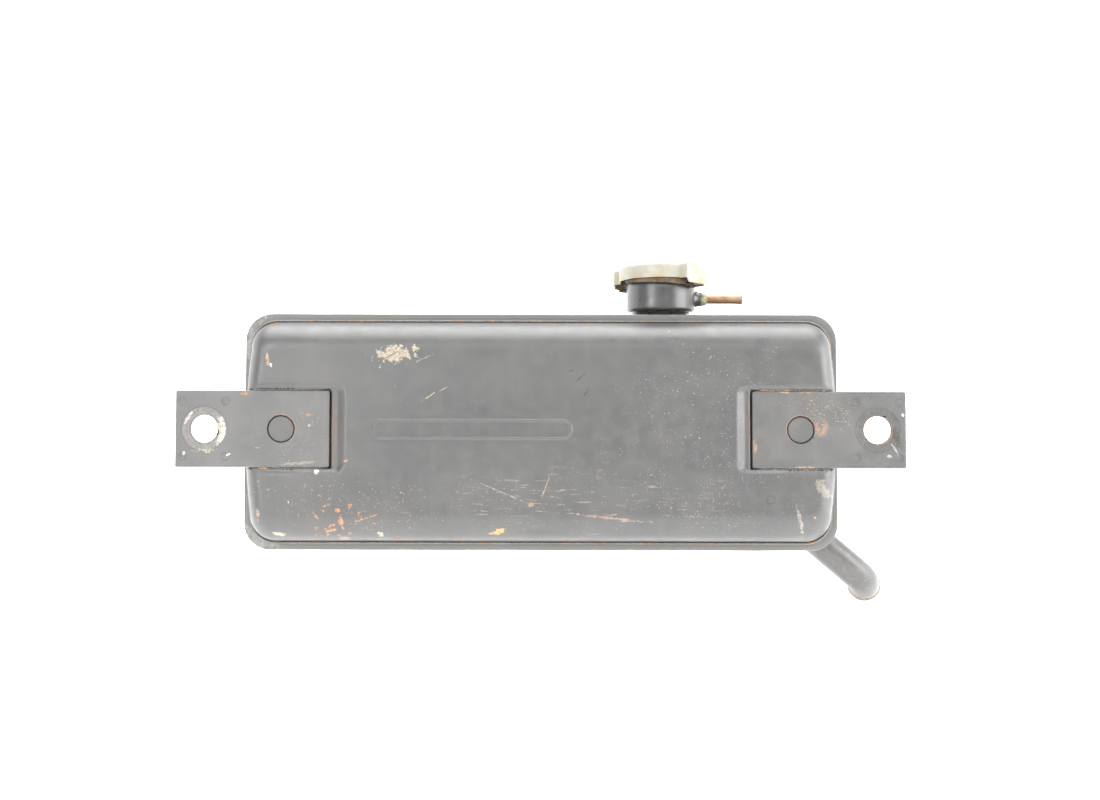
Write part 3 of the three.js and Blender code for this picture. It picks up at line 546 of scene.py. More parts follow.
def plate_wear(side):
    """Wear of one lug plate: its own marks, then what both plates have round their holes and edges."""
    def wear(n, colour, roughness):
        rag = n.noise(2.6, 5.0, 0.65)
        broad = n.noise(14, 2.0)
        tiny = flecks(n, 1.0, 0.80, (0.5, 0.2, 0.1))
        small = flecks(n, 1.7, 0.95, (0.1, 0.9, 0.4))
        hole = side * LUG["hole_x"]
        plug = side * LUG["plug_x"]
        ring = ring_near(n, hole, 0, 9.4, 14.3, 0.5)
        outline = ring_near(n, hole, 0, 14.2, 14.9, 0.35)
        own_marks = right_plate_marks if side > 0 else left_plate_marks
        masks = own_marks(n, hole, ring, rag, broad, tiny, small)
        hole_rust = n.times(ring_near(n, hole, 0, 8.6, 9.7, 0.3), n.ramp(broad, 0.40, 0.62))
        plug_rust = n.times(ring_near(n, plug, 0, 8.7, 9.9, 0.3), n.ramp(broad, 0.46, 0.66))
        masks += [
            (n.times(outline, 0.6), (0.035, 0.033, 0.03)),
            (hole_rust, (0.23, 0.10, 0.055)),
            (plug_rust, (0.20, 0.12, 0.075)),
        ]
        for dx, dz in SPOTS:
            spot = n.times(ring_near(n, hole + dx, dz, 2.1, 2.8, 0.4), 0.6)
            masks.append((spot, (0.035, 0.032, 0.03)))
        # Bare edges, rubbed through the paint.
        axes = n.axes()
        up = n.math("ABSOLUTE", axes["Z"])
        along = n.math("ABSOLUTE", axes["X"])
        rub = n.math("ADD", n.ramp(up, 0.0243, 0.0249), n.ramp(along, 0.2366, 0.2373), True)
        masks.append((n.times(rub, n.ramp(rag, 0.42, 0.60, 0.0, 0.9)), (0.24, 0.225, 0.20)))
        return layered(n, colour, masks), roughness
    return wear


def weld_paint(name, tan_share=0.5, tone=0.07):
    """Weld metal under paint, with rust and bare tan patches breaking through."""
    n = Nodes(name)
    patch = n.noise(7, 4.0, 0.65)
    speck = n.noise(1.6, 4.0, 0.7)
    base = n.mix(n.ramp(speck, 0.3, 0.7), (tone * 0.6,) * 3, (tone * 1.5, tone * 1.45, tone * 1.4))
    edge = 0.66 - 0.2 * tan_share
    colour = n.mix(n.ramp(patch, edge, edge + 0.08), base, (0.19, 0.105, 0.055))
    bare = n.times(n.ramp(patch, edge + 0.05, edge + 0.12), n.ramp(speck, 0.5, 0.6))
    colour = n.mix(bare, colour, (0.30, 0.22, 0.14))
    return n.finish(colour, n.ramp(speck, 0.2, 0.8, 0.4, 0.7), speck, distance=0.2, strength=0.5)


def rim_wear_and_painted_light(n, colour, roughness):
    """Bare and rusty patches round the rim's edge and corners, and the rim's front face painted lighter as
    painted light.
    """
    rag = n.noise(4.0, 5.0, 0.65)
    broad = n.noise(26, 2.0)
    small = flecks(n, 1.9, 0.5, (0.3, 0.3, 0.3))
    axes = n.axes()
    flange = n.ramp(axes["Y"], 0.0262, 0.0248)
    edge = n.math("ADD", n.ramp(axes["Z"], -0.0787, -0.0799), n.ramp(axes["Z"], 0.0768, 0.0777), True)
    # The rim's front face is mixed towards a lighter grey than the same paint has elsewhere: painted light on
    # that face.
    colour = n.mix(n.times(flange, 0.65), colour, (0.115, 0.112, 0.105))
    uneven = n.times(n.ramp(broad, 0.40, 0.62), n.ramp(rag, 0.42, 0.58))
    masks = [
        (n.times(n.times(edge, flange), uneven), (0.20, 0.185, 0.165)),
        (n.times(small, n.ramp(broad, 0.45, 0.65)), (0.17, 0.11, 0.065)),
    ]
    masks += spatter(n, rag, (
        (flange, 1.0, (-193.0, 60.0, 5.0, 12.0, -28, 1.2, 0.6), (0.20, 0.195, 0.18)),
        (flange, 1.0, (-187.0, -72.5, 12.0, 5.0, -28, 1.2, 0.6), (0.18, 0.175, 0.165)),
    ))
    return layered(n, colour, masks), roughness


def outlet_wear(n, colour, roughness):
    """Thin worn paint on the outlet pipe, and the bare bead at its end."""
    rag = n.noise(3.0, 5.0, 0.65)
    tiny = flecks(n, 1.2, 0.5)
    dot = n.add("ShaderNodeVectorMath", operation="DOT_PRODUCT")
    n.put(dot.inputs[0], n.place)
    dot.inputs[1].default_value = OUTLET_AXIS
    end = sum(a * b for a, b in zip(OUTLET_AXIS, OUTLET_PATH[-1])) * MM
    along = n.math("ADD", dot.outputs["Value"], n.times(n.math("SUBTRACT", rag, 0.5), 0.002))
    bead = n.ramp(along, end - 0.0066, end - 0.0058)
    masks = [
        (n.ramp(rag, 0.46, 0.70, 0.0, 0.55), (0.13, 0.108, 0.09)),
        (n.times(tiny, 0.8), (0.34, 0.31, 0.26)),
        (bead, (0.17, 0.155, 0.12)),
        (n.times(bead, n.ramp(rag, 0.55, 0.66)), (0.12, 0.075, 0.04)),
    ]
    return layered(n, colour, masks), roughness


def cap_material():
    """Pale yellowed plating, with brighter stains towards the skirt's edge."""
    n = Nodes("yellowed_plating")
    patch = n.noise(9, 4.0, 0.6)
    grain = n.noise(1.0, 3.0, 0.6)
    low = n.ramp(n.axes()["Z"], 0.1075, 0.1025)
    colour = n.mix(n.ramp(patch, 0.35, 0.7), (0.29, 0.277, 0.232), (0.245, 0.228, 0.178))
    colour = n.mix(n.times(low, n.ramp(patch, 0.52, 0.60)), colour, (0.36, 0.25, 0.065))
    colour = n.mix(flecks(n, 2.0, 0.35), colour, (0.17, 0.12, 0.07))
    n.bsdf.inputs["Metallic"].default_value = 0.15
    return n.finish(colour, n.ramp(grain, 0.2, 0.8, 0.38, 0.55), grain, distance=0.06, strength=0.35)


PAINT = paint_material("satin_paint", tone=0.058, extra=rim_wear_and_painted_light, shine=0.6)
FRONT_PAINT = paint_material("front_paint", tone=0.045, rough=0.43, extra=front_wear_and_painted_shade, shine=0.8)
NECK_PAINT = paint_material("neck_paint", tone=0.034, rough=0.30, dusty=0.3, shine=0.7)
# The braze fillet's paint is a much lighter copy of the neck's black: partly the braze's paler colour, partly
# painted light against the shade at the barrel's foot.
BRAZE_PAINT = paint_material("braze_paint", tone=0.12, rough=0.42)
OUTLET_PAINT = paint_material("outlet_paint", tone=0.060, rough=0.36, extra=outlet_wear, shine=0.6)
PLATE_LEFT = paint_material("plate_paint_left", tone=0.088, rough=0.5, extra=plate_wear(-1))
PLATE_RIGHT = paint_material("plate_paint_right", tone=0.078, rough=0.5, extra=plate_wear(1))
BOSS_PAINT = paint_material("boss_paint", tone=0.078, rough=0.5)
# The seam's copy of the weld paint is lighter and more tan than the lugs' weld: the tan is the seam's own
# colour, and the lighter base is partly painted light against the shade between the pan and the rim.
SEAM = weld_paint("painted_seam", 0.72, 0.13)
WELD = weld_paint("painted_weld", 0.55, 0.05)
CAM_STEEL = rust_material("rusty_cam", (0.05, 0.034, 0.022), (0.15, 0.098, 0.06))
# The tabs under the ears are painted near-black rust, darker than the cam: partly rust, partly painted shade of
# the ears' undersides.
CAP_TAB_STEEL = rust_material("dark_tab", (0.025, 0.014, 0.01), (0.07, 0.038, 0.025))
COPPER = metal_material(
    "aged_copper", (0.30, 0.195, 0.125), (0.20, 0.115, 0.055), 0.48, 3, (0.35, 1, 1), 0.35
)
SOLDER = metal_material("dull_solder", (0.34, 0.32, 0.22), (0.17, 0.15, 0.10), 0.5, 2.0, (1, 1, 1), 0.3)
ZINC = cap_material()
SPRING = metal_material("spring_steel", (0.45, 0.46, 0.47), (0.25, 0.25, 0.26), 0.32, 4)
BRASS = metal_material("valve_brass", (0.66, 0.50, 0.24), (0.42, 0.30, 0.15), 0.38, 6)
RUBBER = rubber_material("seal_rubber")

# ---- shells --------------------------------------------------------------------------------------

STRETCH_STEPS = 22
END_STEPS = 104
CORNER_STEPS = 18
GRID_EDGE = 131.5


def spaced(stops):
    """Positions from the first stop to the last, with the given spacing within each stretch."""
    out = [stops[0][0]]
    for (start, step), (end, _) in zip(stops, stops[1:]):
        count = max(1, round((end - start) / step))
        out += [start + (end - start) * (k + 1) / count for k in range(count)]
    return out


LONG_GRID = spaced([
    (-GRID_EDGE, 0.9), (-122, 2.4), (-111, 0.5), (-102, 3.0),
    (12, 0.5), (21.5, 3.0), (122, 0.9), (GRID_EDGE, 1.0),
])


def section(half_x, half_z, corner, bow):
    """Points of a rounded rectangle with bowed ends, anticlockwise from its lower right corner."""
    points = []
    corner_x = half_x - bow - corner
    corner_z = half_z - corner

    def arc(cx, cz, start):
        for i in range(CORNER_STEPS):
            a = math.radians(start + 90 * i / CORNER_STEPS)
            points.append((cx + corner * math.cos(a), cz + corner * math.sin(a)))

    def end(side):
        for i in range(END_STEPS):
            t = -1 + 2 * i / END_STEPS
            points.append((side * (half_x - bow * t * t), side * t * corner_z))

    def long(side):
        for i in range(STRETCH_STEPS):
            x = corner_x + (GRID_EDGE - corner_x) * i / STRETCH_STEPS
            points.append((side * x, side * half_z))
        row = LONG_GRID[::-1] if side > 0 else LONG_GRID
        points.extend((x, side * half_z) for x in row)
        for i in range(1, STRETCH_STEPS):
            x = GRID_EDGE + (corner_x - GRID_EDGE) * i / STRETCH_STEPS
            points.append((-side * x, side * half_z))

    arc(corner_x, -corner_z, -90)
    end(1)
    arc(corner_x, corner_z, 0)
    long(1)
    arc(-corner_x, corner_z, 90)
    end(-1)
    arc(-corner_x, -corner_z, 180)
    long(-1)
    return points


def pan_rings(foot, draft, open_y, face_y, shoulder, inset, shoulder_steps, face_insets, foot_offsets=(0.0,)):
    """Rings from the foot of a pan to the middle line of its face: lists of (x, y, z)."""
    half_x, half_z, corner, bow = foot
    out = math.copysign(1.0, face_y - open_y)
    rings = []

    def ring(in_x, in_z, y, corner_now, bow_now):
        pts = section(half_x - in_x, half_z - in_z, corner_now, bow_now)
        rings.append([(x, y, z + TANK_Z) for x, z in pts])

    flat_y = face_y - out * inset
    rx, ry, rz = (s - inset for s in shoulder)
    wall = inset + draft
    wall_end = abs(flat_y - out * ry - open_y)
    for offset in foot_offsets:
        lean = draft * offset / wall_end
        ring(inset + lean, inset + lean, open_y + out * offset, corner - (inset + lean) / 2, bow)
    for k in range(shoulder_steps + 1):
        a = 0.5 * math.pi * k / shoulder_steps
        inward = 1 - math.cos(a)
        in_x, in_z = wall + rx * inward, wall + rz * inward
        corner_now = corner - (wall * 2 + (rx + rz) * inward) / 4
        ring(in_x, in_z, flat_y - out * ry * (1 - math.sin(a)), corner_now, bow)
    left = half_z - in_z
    for d in [step for step in face_insets if step < left - 0.05] + [left]:
        share = d / left
        ring(in_x + d, in_z + d, flat_y, corner_now * (1 - share) + 1e-3, bow * (1 - share))
    return rings, in_x, in_z


def crown(x, z, half_x, half_z, height):
    u = np.clip(np.abs(x) / half_x, 0, 1)
    v = np.clip(np.abs(z - TANK_Z) / half_z, 0, 1)
    return height * (1 - u ** 2) ** 0.8 * (1 - v * v) ** 1.6


def pocket_mask(x, z):
    """1 on a lug pocket's floor and 0 on the pan's face, with a soft slope between."""
    along = np.maximum(POCKET_X - np.abs(x) + POCKET_CORNER, 0)
    across = np.maximum(np.abs(z) - POCKET_HALF_Z + POCKET_CORNER, 0)
    distance = np.hypot(along, across) - POCKET_CORNER
    end_share = along / (along + across + 1e-6)
    slope = POCKET_SIDE_SLOPE + (POCKET_END_SLOPE - POCKET_SIDE_SLOPE) * end_share
    return 1 - smooth_step(distance / slope, -1.0, 1.0)


def pocket_floor(x, z):
    """The pocket's floor, which rises to meet the pan beyond the plate's edges."""
    end = 1 - smooth_step(np.abs(x), LUG_INNER_X - 1.7, LUG_INNER_X - 0.1)
    side = smooth_step(np.abs(z), LUG["height"] / 2 + 0.1, LUG["height"] / 2 + 0.8)
    return GAP - np.maximum(4.0 * end, 4.3 * side)


def stadium_distance(x, z):
    """Distance to the middle of the panel's raised line."""
    p = PANEL
    r = p["half_z"] - p["line"] / 2
    dx = np.maximum(np.abs(x - p["x"]) - (p["half_x"] - p["half_z"]), 0)
    return np.abs(np.hypot(dx, z - p["z"]) - r)


FRONT_FOOT = (196.4, 73.4, 17.0, 3.5)
FRONT_SHOULDER = (11.0, 20.0, 19.6)  # softer than the CAD model's, as pressed sheet is
FACE_FINE = spaced([(2.4, 2.4), (21.5, 0.6), (30.0, 2.2), (43.6, 0.42), (52.4, 1.0)])
FACE_COARSE = spaced([(5.0, 6.0), (40.0, 6.0), (51.2, 1.0)])


def front_pan():
    shape = (FRONT_FOOT, FRONT_DRAFT, SEAM_Y - GAP, FRONT_FACE_Y, FRONT_SHOULDER)
    outer, in_x, in_z = pan_rings(*shape, 0.0, 18, FACE_FINE, (0, 2, 4))
    inner, _, _ = pan_rings(*shape, SHEET, 6, FACE_COARSE)
    half_x, half_z = FRONT_FOOT[0] - in_x, FRONT_FOOT[1] - in_z

    def shaped(rings, inset):
        pts = np.array([p for ring in rings for p in ring])
        x, y, z = pts[:, 0], pts[:, 1].copy(), pts[:, 2]
        face = smooth_step(-y, -(FRONT_FACE_Y + 3.0 + inset), -(FRONT_FACE_Y + inset))
        y -= crown(x, z, half_x, half_z, FRONT_CROWN) * face
        drop = np.maximum(pocket_floor(x, z) + inset - y, 0) * pocket_mask(x, z)
        y += drop
        if inset == 0:
            line = 1 - smooth_step(stadium_distance(x, z), 0.15, 1.15)
            y -= PANEL["rise"] * line * face
            wave = rumple(pts, 85.0, 3.0) * 0.32 + rumple(pts, 34.0, 11.0) * 0.10
            y += wave * face
        pts[:, 1] = y
        return pts

    a, b = shaped(inner[::-1], SHEET), shaped(outer, 0.0)
    verts = np.concatenate([a, b])
    count = len(outer[0])
    faces = loft_faces(len(inner) + len(outer), count)
    return make_piece(
        "front_pan", verts, faces, FRONT_PAINT, "tank", ["front_shell"], weld=2e-3
    )


REAR_FOOT = (189.5, 70.7, 16.0, 0.0)
REAR_SHOULDER = (12.0, 10.0, 12.0)
RIM = (198.3, 79.1, 18.0, 0.0)
REAR_FACE = spaced([(3.0, 4.0), (57.9, 1.0)])


def rear_pan():
    """The rear shell and its rim, as one closed skin from the inside of its face round to the outside."""
    inner, _, _ = pan_rings(REAR_FOOT, REAR_DRAFT, SEAM_Y, REAR_FACE_Y, REAR_SHOULDER, SHEET, 5, FACE_COARSE)
    outer, in_x, in_z = pan_rings(
        REAR_FOOT, REAR_DRAFT, SEAM_Y + RIM_THICK, REAR_FACE_Y, REAR_SHOULDER,
        0.0, 12, REAR_FACE, (1.6, 10, 24),
    )
    half_x, half_z, corner, bow = RIM
    edge = 0.7
    back_y = SEAM_Y + RIM_THICK
    flange = []
    for grow, y in (
        (-8.0, SEAM_Y), (-3.0, SEAM_Y), (-edge, SEAM_Y), (-edge * 0.3, SEAM_Y + edge * 0.3),
        (0, SEAM_Y + edge), (0, back_y - edge), (-edge * 0.3, back_y - edge * 0.3), (-edge, back_y),
        (-4.0, back_y), (-6.4, back_y + 0.2), (-7.4, back_y + 0.7),
    ):
        pts = section(half_x + grow, half_z + grow, corner + grow * 0.4, bow)
        flange.append([(x, y, z + TANK_Z) for x, z in pts])

    def crowned(rings, inset):
        pts = np.array([p for ring in rings for p in ring])
        face = smooth_step(pts[:, 1], REAR_FACE_Y - inset - 3.0, REAR_FACE_Y - inset)
        pts[:, 1] += crown(pts[:, 0], pts[:, 2], REAR_FOOT[0] - in_x, REAR_FOOT[1] - in_z, REAR_CROWN) * face
        if inset == 0:
            pts[:, 1] += rumple(pts, 90.0, 7.0) * 0.25 * face
        return pts

    rim = np.array([p for ring in flange for p in ring])
    wobble = smooth_step(np.abs(rim[:, 2] - TANK_Z), 70, 78)
    rim[:, 2] += rumple(rim, 40.0, 5.0) * 0.18 * wobble
    verts = np.concatenate([crowned(inner[::-1], SHEET), rim, crowned(outer, 0.0)])
    total = len(inner) + len(flange) + len(outer)
    faces = loft_faces(total, len(outer[0]))
    return make_piece(
        "rear_pan", verts, faces, PAINT, "tank", ["rear_shell"], sharp_deg=55, weld=2e-3
    )


def seam_bead():
    """A thin uneven bead of weld and sealer between the front pan's foot and the rim."""
    half_x, half_z, corner, bow = FRONT_FOOT
    base = section(half_x + 0.7, half_z + 0.7, corner, bow)
    count = len(base)
    sides = 7
    centre = np.array([(x, SEAM_Y - 0.9, z + TANK_Z) for x, z in base])
    swell = 0.66 + 0.16 * rumple(centre, 9.0, 2.0) + 0.12 * rumple(centre, 3.0, 9.0)
    verts = []
    for a in around(sides):
        for i, (x, z) in enumerate(base):
            x0, z0 = base[i - 1]
            x1, z1 = base[(i + 1) % count]
            d = Vector((x1 - x0, z1 - z0)).normalized()
            out = swell[i] * math.cos(a)
            verts.append((x + d.y * out, SEAM_Y - 0.95 + swell[i] * math.sin(a), z + TANK_Z - d.x * out))
    return make_piece(
        "seam_bead", verts, loft_faces(sides, count, True), SEAM, "tank", ["seam_weld"]
    )


# ---- lugs ----------------------------------------------------------------------------------------

def lug_outline(side, inset):
    """Corner-rounded outline of a lug plate, anticlockwise, in x and z."""
    x0, x1 = (LUG_INNER_X, LUG_OUTER_X) if side > 0 else (-LUG_OUTER_X, -LUG_INNER_X)
    z1 = LUG["height"] / 2
    radius = max(LUG_CORNER - inset, 0.05)
    edge_step = 2.0
    corners = [
        (x1 - LUG_CORNER, LUG_CORNER - z1, -90), (x1 - LUG_CORNER, z1 - LUG_CORNER, 0),
        (x0 + LUG_CORNER, z1 - LUG_CORNER, 90), (x0 + LUG_CORNER, LUG_CORNER - z1, 180),
    ]

    def on_corner(corner, turned):
        cx, cz, start = corner
        a = math.radians(start + turned)
        return cx + radius * math.cos(a), cz + radius * math.sin(a)

    pts = []
    for i, corner in enumerate(corners):
        pts += [on_corner(corner, 90 * k / 4) for k in range(5)]
        last, target = pts[-1], on_corner(corners[(i + 1) % 4], 0)
        whole = LUG["length"] if abs(target[0] - last[0]) > LUG["height"] else LUG["height"]
        count = round((whole - 2 * LUG_CORNER) / edge_step)
        for k in range(1, count):
            t = k / count
            pts.append((last[0] + (target[0] - last[0]) * t, last[1] + (target[1] - last[1]) * t))
    return pts


def circle(cx, cz, r, steps=48):
    return [(cx + r * math.cos(a), cz + r * math.sin(a)) for a in around(steps)]


def lug_relief(side, x, z):
    """Depth, towards the rear, of the washer's print, the spot weld marks and the plate's slight waves."""
    hole = np.hypot(x - side * LUG["hole_x"], z)
    ring = smooth_step(hole, 9.0, 10.0) * (1 - smooth_step(hole, 13.2, 14.4))
    lip = np.exp(-((hole - 14.6) / 0.7) ** 2)
    depth = 0.16 * ring - 0.10 * lip
    for dx, dz in SPOTS:
        r = np.hypot(x - side * LUG["hole_x"] - dx, z - dz)
        raised = -0.6 if (side > 0 and dx > 0 and dz > 0) else 1.0
        depth += raised * 0.42 * (1 - smooth_step(r, 1.2, 2.6)) - 0.08 * np.exp(-((r - 3.0) / 0.6) ** 2)
    pts = np.stack([x, np.zeros_like(x), z], 1)
    return depth + 0.06 * rumple(pts, 16.0, 4.0 + side) + 0.015 * rumple(pts, 4.0, 1.0)


def plate_face(verts, loops, inside, y):
    """Triangles across a plate at height `y`, between its loops and through the points inside them."""
    ring_ids = [i for loop in loops for i in loop]
    flat = [Vector((verts[i][0], verts[i][2])) for i in ring_ids]
    edges, at = [], 0
    for loop in loops:
        n = len(loop)
        edges += [(at + i, at + (i + 1) % n) for i in range(n)]
        at += n
    points, _, tris, origin, _, _ = delaunay_2d_cdt(flat + [Vector(p) for p in inside], edges, [], 0, 1e-5)
    index = []
    for k, p in enumerate(points):
        source = [o for o in origin[k] if o < len(ring_ids)]
        if source:
            index.append(ring_ids[source[0]])
        else:
            index.append(len(verts))
            verts.append((p.x, y, p.y))
    middles = [sum((points[i] for i in tri), Vector((0, 0))) / len(tri) for tri in tris]
    return [(tuple(index[i] for i in tri), middle) for tri, middle in zip(tris, middles)]


def lug_plate(side, label):
    """A lug plate with rounded edges and two holes, and a fine grid on its faces for the wear's relief."""
    holes = [(side * LUG["hole_x"], 0.0), (side * LUG["plug_x"], 0.0)]
    thick = LUG["thick"]
    grid_step = 1.15
    levels = [
        (0.55, -thick), (0.16, -thick + 0.14), (0.0, -thick + 0.5), (0.0, -0.5), (0.16, -0.14), (0.5, 0.0),
    ]
    verts, faces, loops = [], [], []

    def clear_of_holes(x, z, margin):
        return all(math.hypot(x - cx, z - cz) > LUG["hole_r"] + margin for cx, cz in holes)

    for inset, y in levels:
        loop_set = [lug_outline(side, inset)]
        loop_set += [circle(cx, cz, LUG["hole_r"] + inset * 0.9)[::-1] for cx, cz in holes]
        indexed = []
        for loop in loop_set:
            start = len(verts)
            verts.extend((px, y, pz) for px, pz in loop)
            indexed.append(list(range(start, start + len(loop))))
        loops.append(indexed)
    for low, high in zip(loops, loops[1:]):
        for a, b in zip(low, high):
            n = len(a)
            faces += [(a[i], a[(i + 1) % n], b[(i + 1) % n], b[i]) for i in range(n)]
    x0 = min(side * LUG_INNER_X, side * LUG_OUTER_X)
    gx = np.arange(x0 + 1.5, x0 + LUG["length"] - 1.0, grid_step)
    gz = np.arange(-LUG["height"] / 2 + 1.5, LUG["height"] / 2 - 1.0, grid_step)
    grid = [(float(px), float(pz)) for px in gx for pz in gz if clear_of_holes(px, pz, 1.3)]
    for level, y in ((0, -thick), (-1, 0.0)):
        for face, middle in plate_face(verts, loops[level], grid, y):
            if clear_of_holes(middle.x, middle.y, 0.3):
                faces.append(face)
    pts = np.array(verts, float)
    front = pts[:, 1] < -thick + 0.3
    pts[front, 1] += lug_relief(side, pts[front, 0], pts[front, 2])
    paint = PLATE_RIGHT if side > 0 else PLATE_LEFT
    return make_piece(
        f"lug_{label}", pts, faces, paint, "tank", [f"lug_plate_{label}"],
        sharp_deg=70, weld=1e-3,
    )


def pocket_boss(side, label):
    """The round boss pressed up in a lug pocket, which stands in the plate's inner hole."""
    steps = 72
    foot = GAP + 0.5
    rings = [
        (0.02, BOSS_Y), (2.5, BOSS_Y), (5.5, BOSS_Y), (7.4, BOSS_Y), (BOSS_R - 0.55, BOSS_Y + 0.06),
        (BOSS_R - 0.2, BOSS_Y + 0.25), (BOSS_R, BOSS_Y + 0.7), (BOSS_R, -1.5), (BOSS_R + 0.05, GAP - 0.4),
        (BOSS_R + 0.05, foot), (4.0, foot), (0.02, foot),
    ]
    verts = []
    for r, y in rings:
        for a in around(steps):
            x, z = r * math.cos(a), r * math.sin(a)
            dent = 0.10 * noise.noise(Vector((x / 6 + side, y, z / 6))) if y < -2 else 0.0
            verts.append((side * LUG["plug_x"] + x, y + dent, z))
    faces = loft_faces(len(rings), steps) + end_caps(len(rings), steps)
    return make_piece(
        f"pocket_boss_{label}", verts, faces, BOSS_PAINT, "tank", sharp_deg=60, weld=None
    )


def lug_weld(side, edge, label):
    """A row of overlapping weld drops along a lug's edge, where it lies in its pocket."""
    x_from, x_to, y = 139.5, 189.0, -2.9
    steps, sides, drop_count = 150, 12, 13
    taper = 0.125  # share of the length over which the bead thins at each end
    z_mid = edge * (LUG["height"] / 2 + 0.75)
    verts = []
    for i in range(steps + 1):
        t = i / steps
        x = side * (x_from + (x_to - x_from) * t)
        drops = 0.5 + 0.5 * abs(math.sin(t * math.pi * drop_count))
        near_end = min(t, 1 - t)
        end = math.sin(math.pi * near_end / (2 * taper)) if near_end < taper else 1.0
        for a in around(sides):
            wobble = 1 + 0.18 * noise.noise(Vector((x / 2.5, math.cos(a), math.sin(a) + edge * 5)))
            r = (0.65 + 0.25 * drops) * wobble * max(end, 0.02)
            verts.append((x, y + 1.6 * r * math.sin(a), z_mid + r * math.cos(a)))
    faces = loft_faces(steps + 1, sides) + end_caps(steps + 1, sides)
    where = "upper" if edge > 0 else "lower"
    return make_piece(
        f"weld_{label}_{where}", verts, faces, WELD, "tank", [f"lug_weld_{label}_{where}"],
        weld=None,
    )


# ---- filler neck ---------------------------------------------------------------------------------


def throat():
    bore, foot = THROAT_R - SHEET, 63.0
    profile = rounded([
        (bore, foot), (THROAT_R, foot), (THROAT_R, 70.0), (THROAT_R, 77.2), (THROAT_R + 0.5, 79.0),
        (THROAT_R + 2.2, 80.4), (bore, 80.5), (bore, 70.0),
    ], 0.5)
    verts, faces = lathe(profile)
    return make_piece(
        "throat_tube", verts, faces, NECK_PAINT, "tank", ["neck_throat"], sharp_deg=50
    )


def braze_fillet():
    low = TANK_Z + REAR_FOOT[1] + GAP - 0.2
    profile = [
        (THROAT_R + 0.1, low - 1.2), (THROAT_R + 2.6, low - 1.2), (THROAT_R + 2.7, low),
        (THROAT_R + 1.7, low + 1.0), (THROAT_R + 1.0, low + 2.4), (THROAT_R + 0.5, low + 4.0),
        (THROAT_R + 0.1, low + 4.6),
    ]

    def warp(r, z, a):
        lump = noise.noise(Vector((math.cos(a) * 4, math.sin(a) * 4, z * 0.3)))
        return (r + 0.35 * lump if r > THROAT_R + 0.3 else r), z + (0.25 * lump if z > low else 0)

    verts, faces = lathe(profile, steps=120, warp=warp)
    return make_piece("neck_fillet", verts, faces, BRAZE_PAINT, "tank", ["neck_braze"])


def barrel():
    inner = BARREL_R - SHEET
    throat_r = THROAT_R - SHEET
    low, top = BARREL_LOW, BARREL_TOP
    arc = [
        (BARREL_R - 2.8 + 2.8 * math.sin(a), low + 2.8 - 2.8 * math.cos(a))
        for a in np.linspace(0, math.pi / 2, 9)
    ]
    profile = [(throat_r, low + 0.3), (throat_r + 0.3, low)] + arc + [
        (BARREL_R, low + 5.5), (BARREL_R, low + 10), (BARREL_R, low + 15), (BARREL_R, top - 0.3),
        (BARREL_R - 0.3, top), (inner + 0.3, top), (inner, top - 0.3),
        (inner, low + SHEET + 1.6), (inner - 0.6, low + SHEET + 0.5),
        (inner - 1.6, low + SHEET), (throat_r + 1.6, low + SHEET), (throat_r, low + SHEET - 0.3),
    ]

    def warp(r, z, a):
        if r < BARREL_R - 0.2:
            return r, z
        dent = noise.noise(Vector((math.cos(a) * 1.4, math.sin(a) * 1.4, z * 0.05)))
        return r + 0.12 * dent - 0.05, z

    verts, faces = lathe(profile, steps=144, warp=warp)
    return make_piece(
        "filler_barrel", verts, faces, NECK_PAINT, "tank", ["neck_barrel"], sharp_deg=50
    )


def cam():
    """The bayonet flange: a ring whose turned-down lip has entry notches, falling ramps and stops."""
    lip, thick = 1.2, 1.2
    rest_z, pitch, rest_deg = 100.0, 1.2, -42.0
    stop_z = 96.6
    inner = BARREL_R - SHEET
    under = CAM_TOP - thick  # height of the ring's own lower side
    steps = 720
    verts = []
    for i in range(steps):
        deg = 360.0 * i / steps
        half = -(deg % 180.0)  # degrees past an entry notch, in the direction in which the cap shuts
        if half < -161:
            half += 180.0
        notch = float(smooth_step(abs(half), 18.0, 20.5)) if half > -90 else 1.0
        if -138 <= half <= -19:
            low = rest_z + math.radians(half - rest_deg) * pitch
        elif -146 <= half < -138:
            low = stop_z
        else:
            low = under - lip
        if -150 <= half <= -130 and not -146 <= half < -138:
            stop_share = float(smooth_step(-half, 136.5, 138.0) * (1 - smooth_step(-half, 146.0, 147.5)))
            low += (stop_z - low) * stop_share
        if notch <= 0.99:
            low = under - 0.2
        outer = BARREL_R + 0.15 + (CAM_R - BARREL_R - 0.15) * notch
        a = math.radians(deg)
        wear = 0.12 * noise.noise(Vector((math.cos(a) * 6, math.sin(a) * 6, 0.3)))
        inner_lip = max(outer - lip, BARREL_R + 0.05)
        edge_z = min(low, CAM_TOP - 1.1) + wear
        ring = [
            (inner, CAM_TOP - 0.2), (inner + 0.3, CAM_TOP), (outer - 0.6, CAM_TOP + wear * 0.3),
            (outer - 0.15, CAM_TOP - 0.2), (outer, CAM_TOP - 0.7), (outer, min(low + 0.3, CAM_TOP - 0.9)),
            (outer - 0.25, edge_z), (inner_lip + 0.1, edge_z), (inner_lip, min(low + 0.3, under)),
            (inner_lip, under), (inner + 0.1, under),
        ]
        verts.extend((NECK.x + r * math.cos(a), NECK.y + r * math.sin(a), z) for r, z in ring)
    faces = loft_faces(steps, len(ring), True)
    return make_piece("cam_ring", verts, faces, CAM_STEEL, "tank", ["cam_flange"], sharp_deg=40)


def overflow_line(x):
    """A point of the overflow pipe's straight middle line, with its direction and a side direction."""
    return Vector((x, NECK.y, OVERFLOW_Z)), Vector((1, 0, 0)), Vector((0, 1, 0))


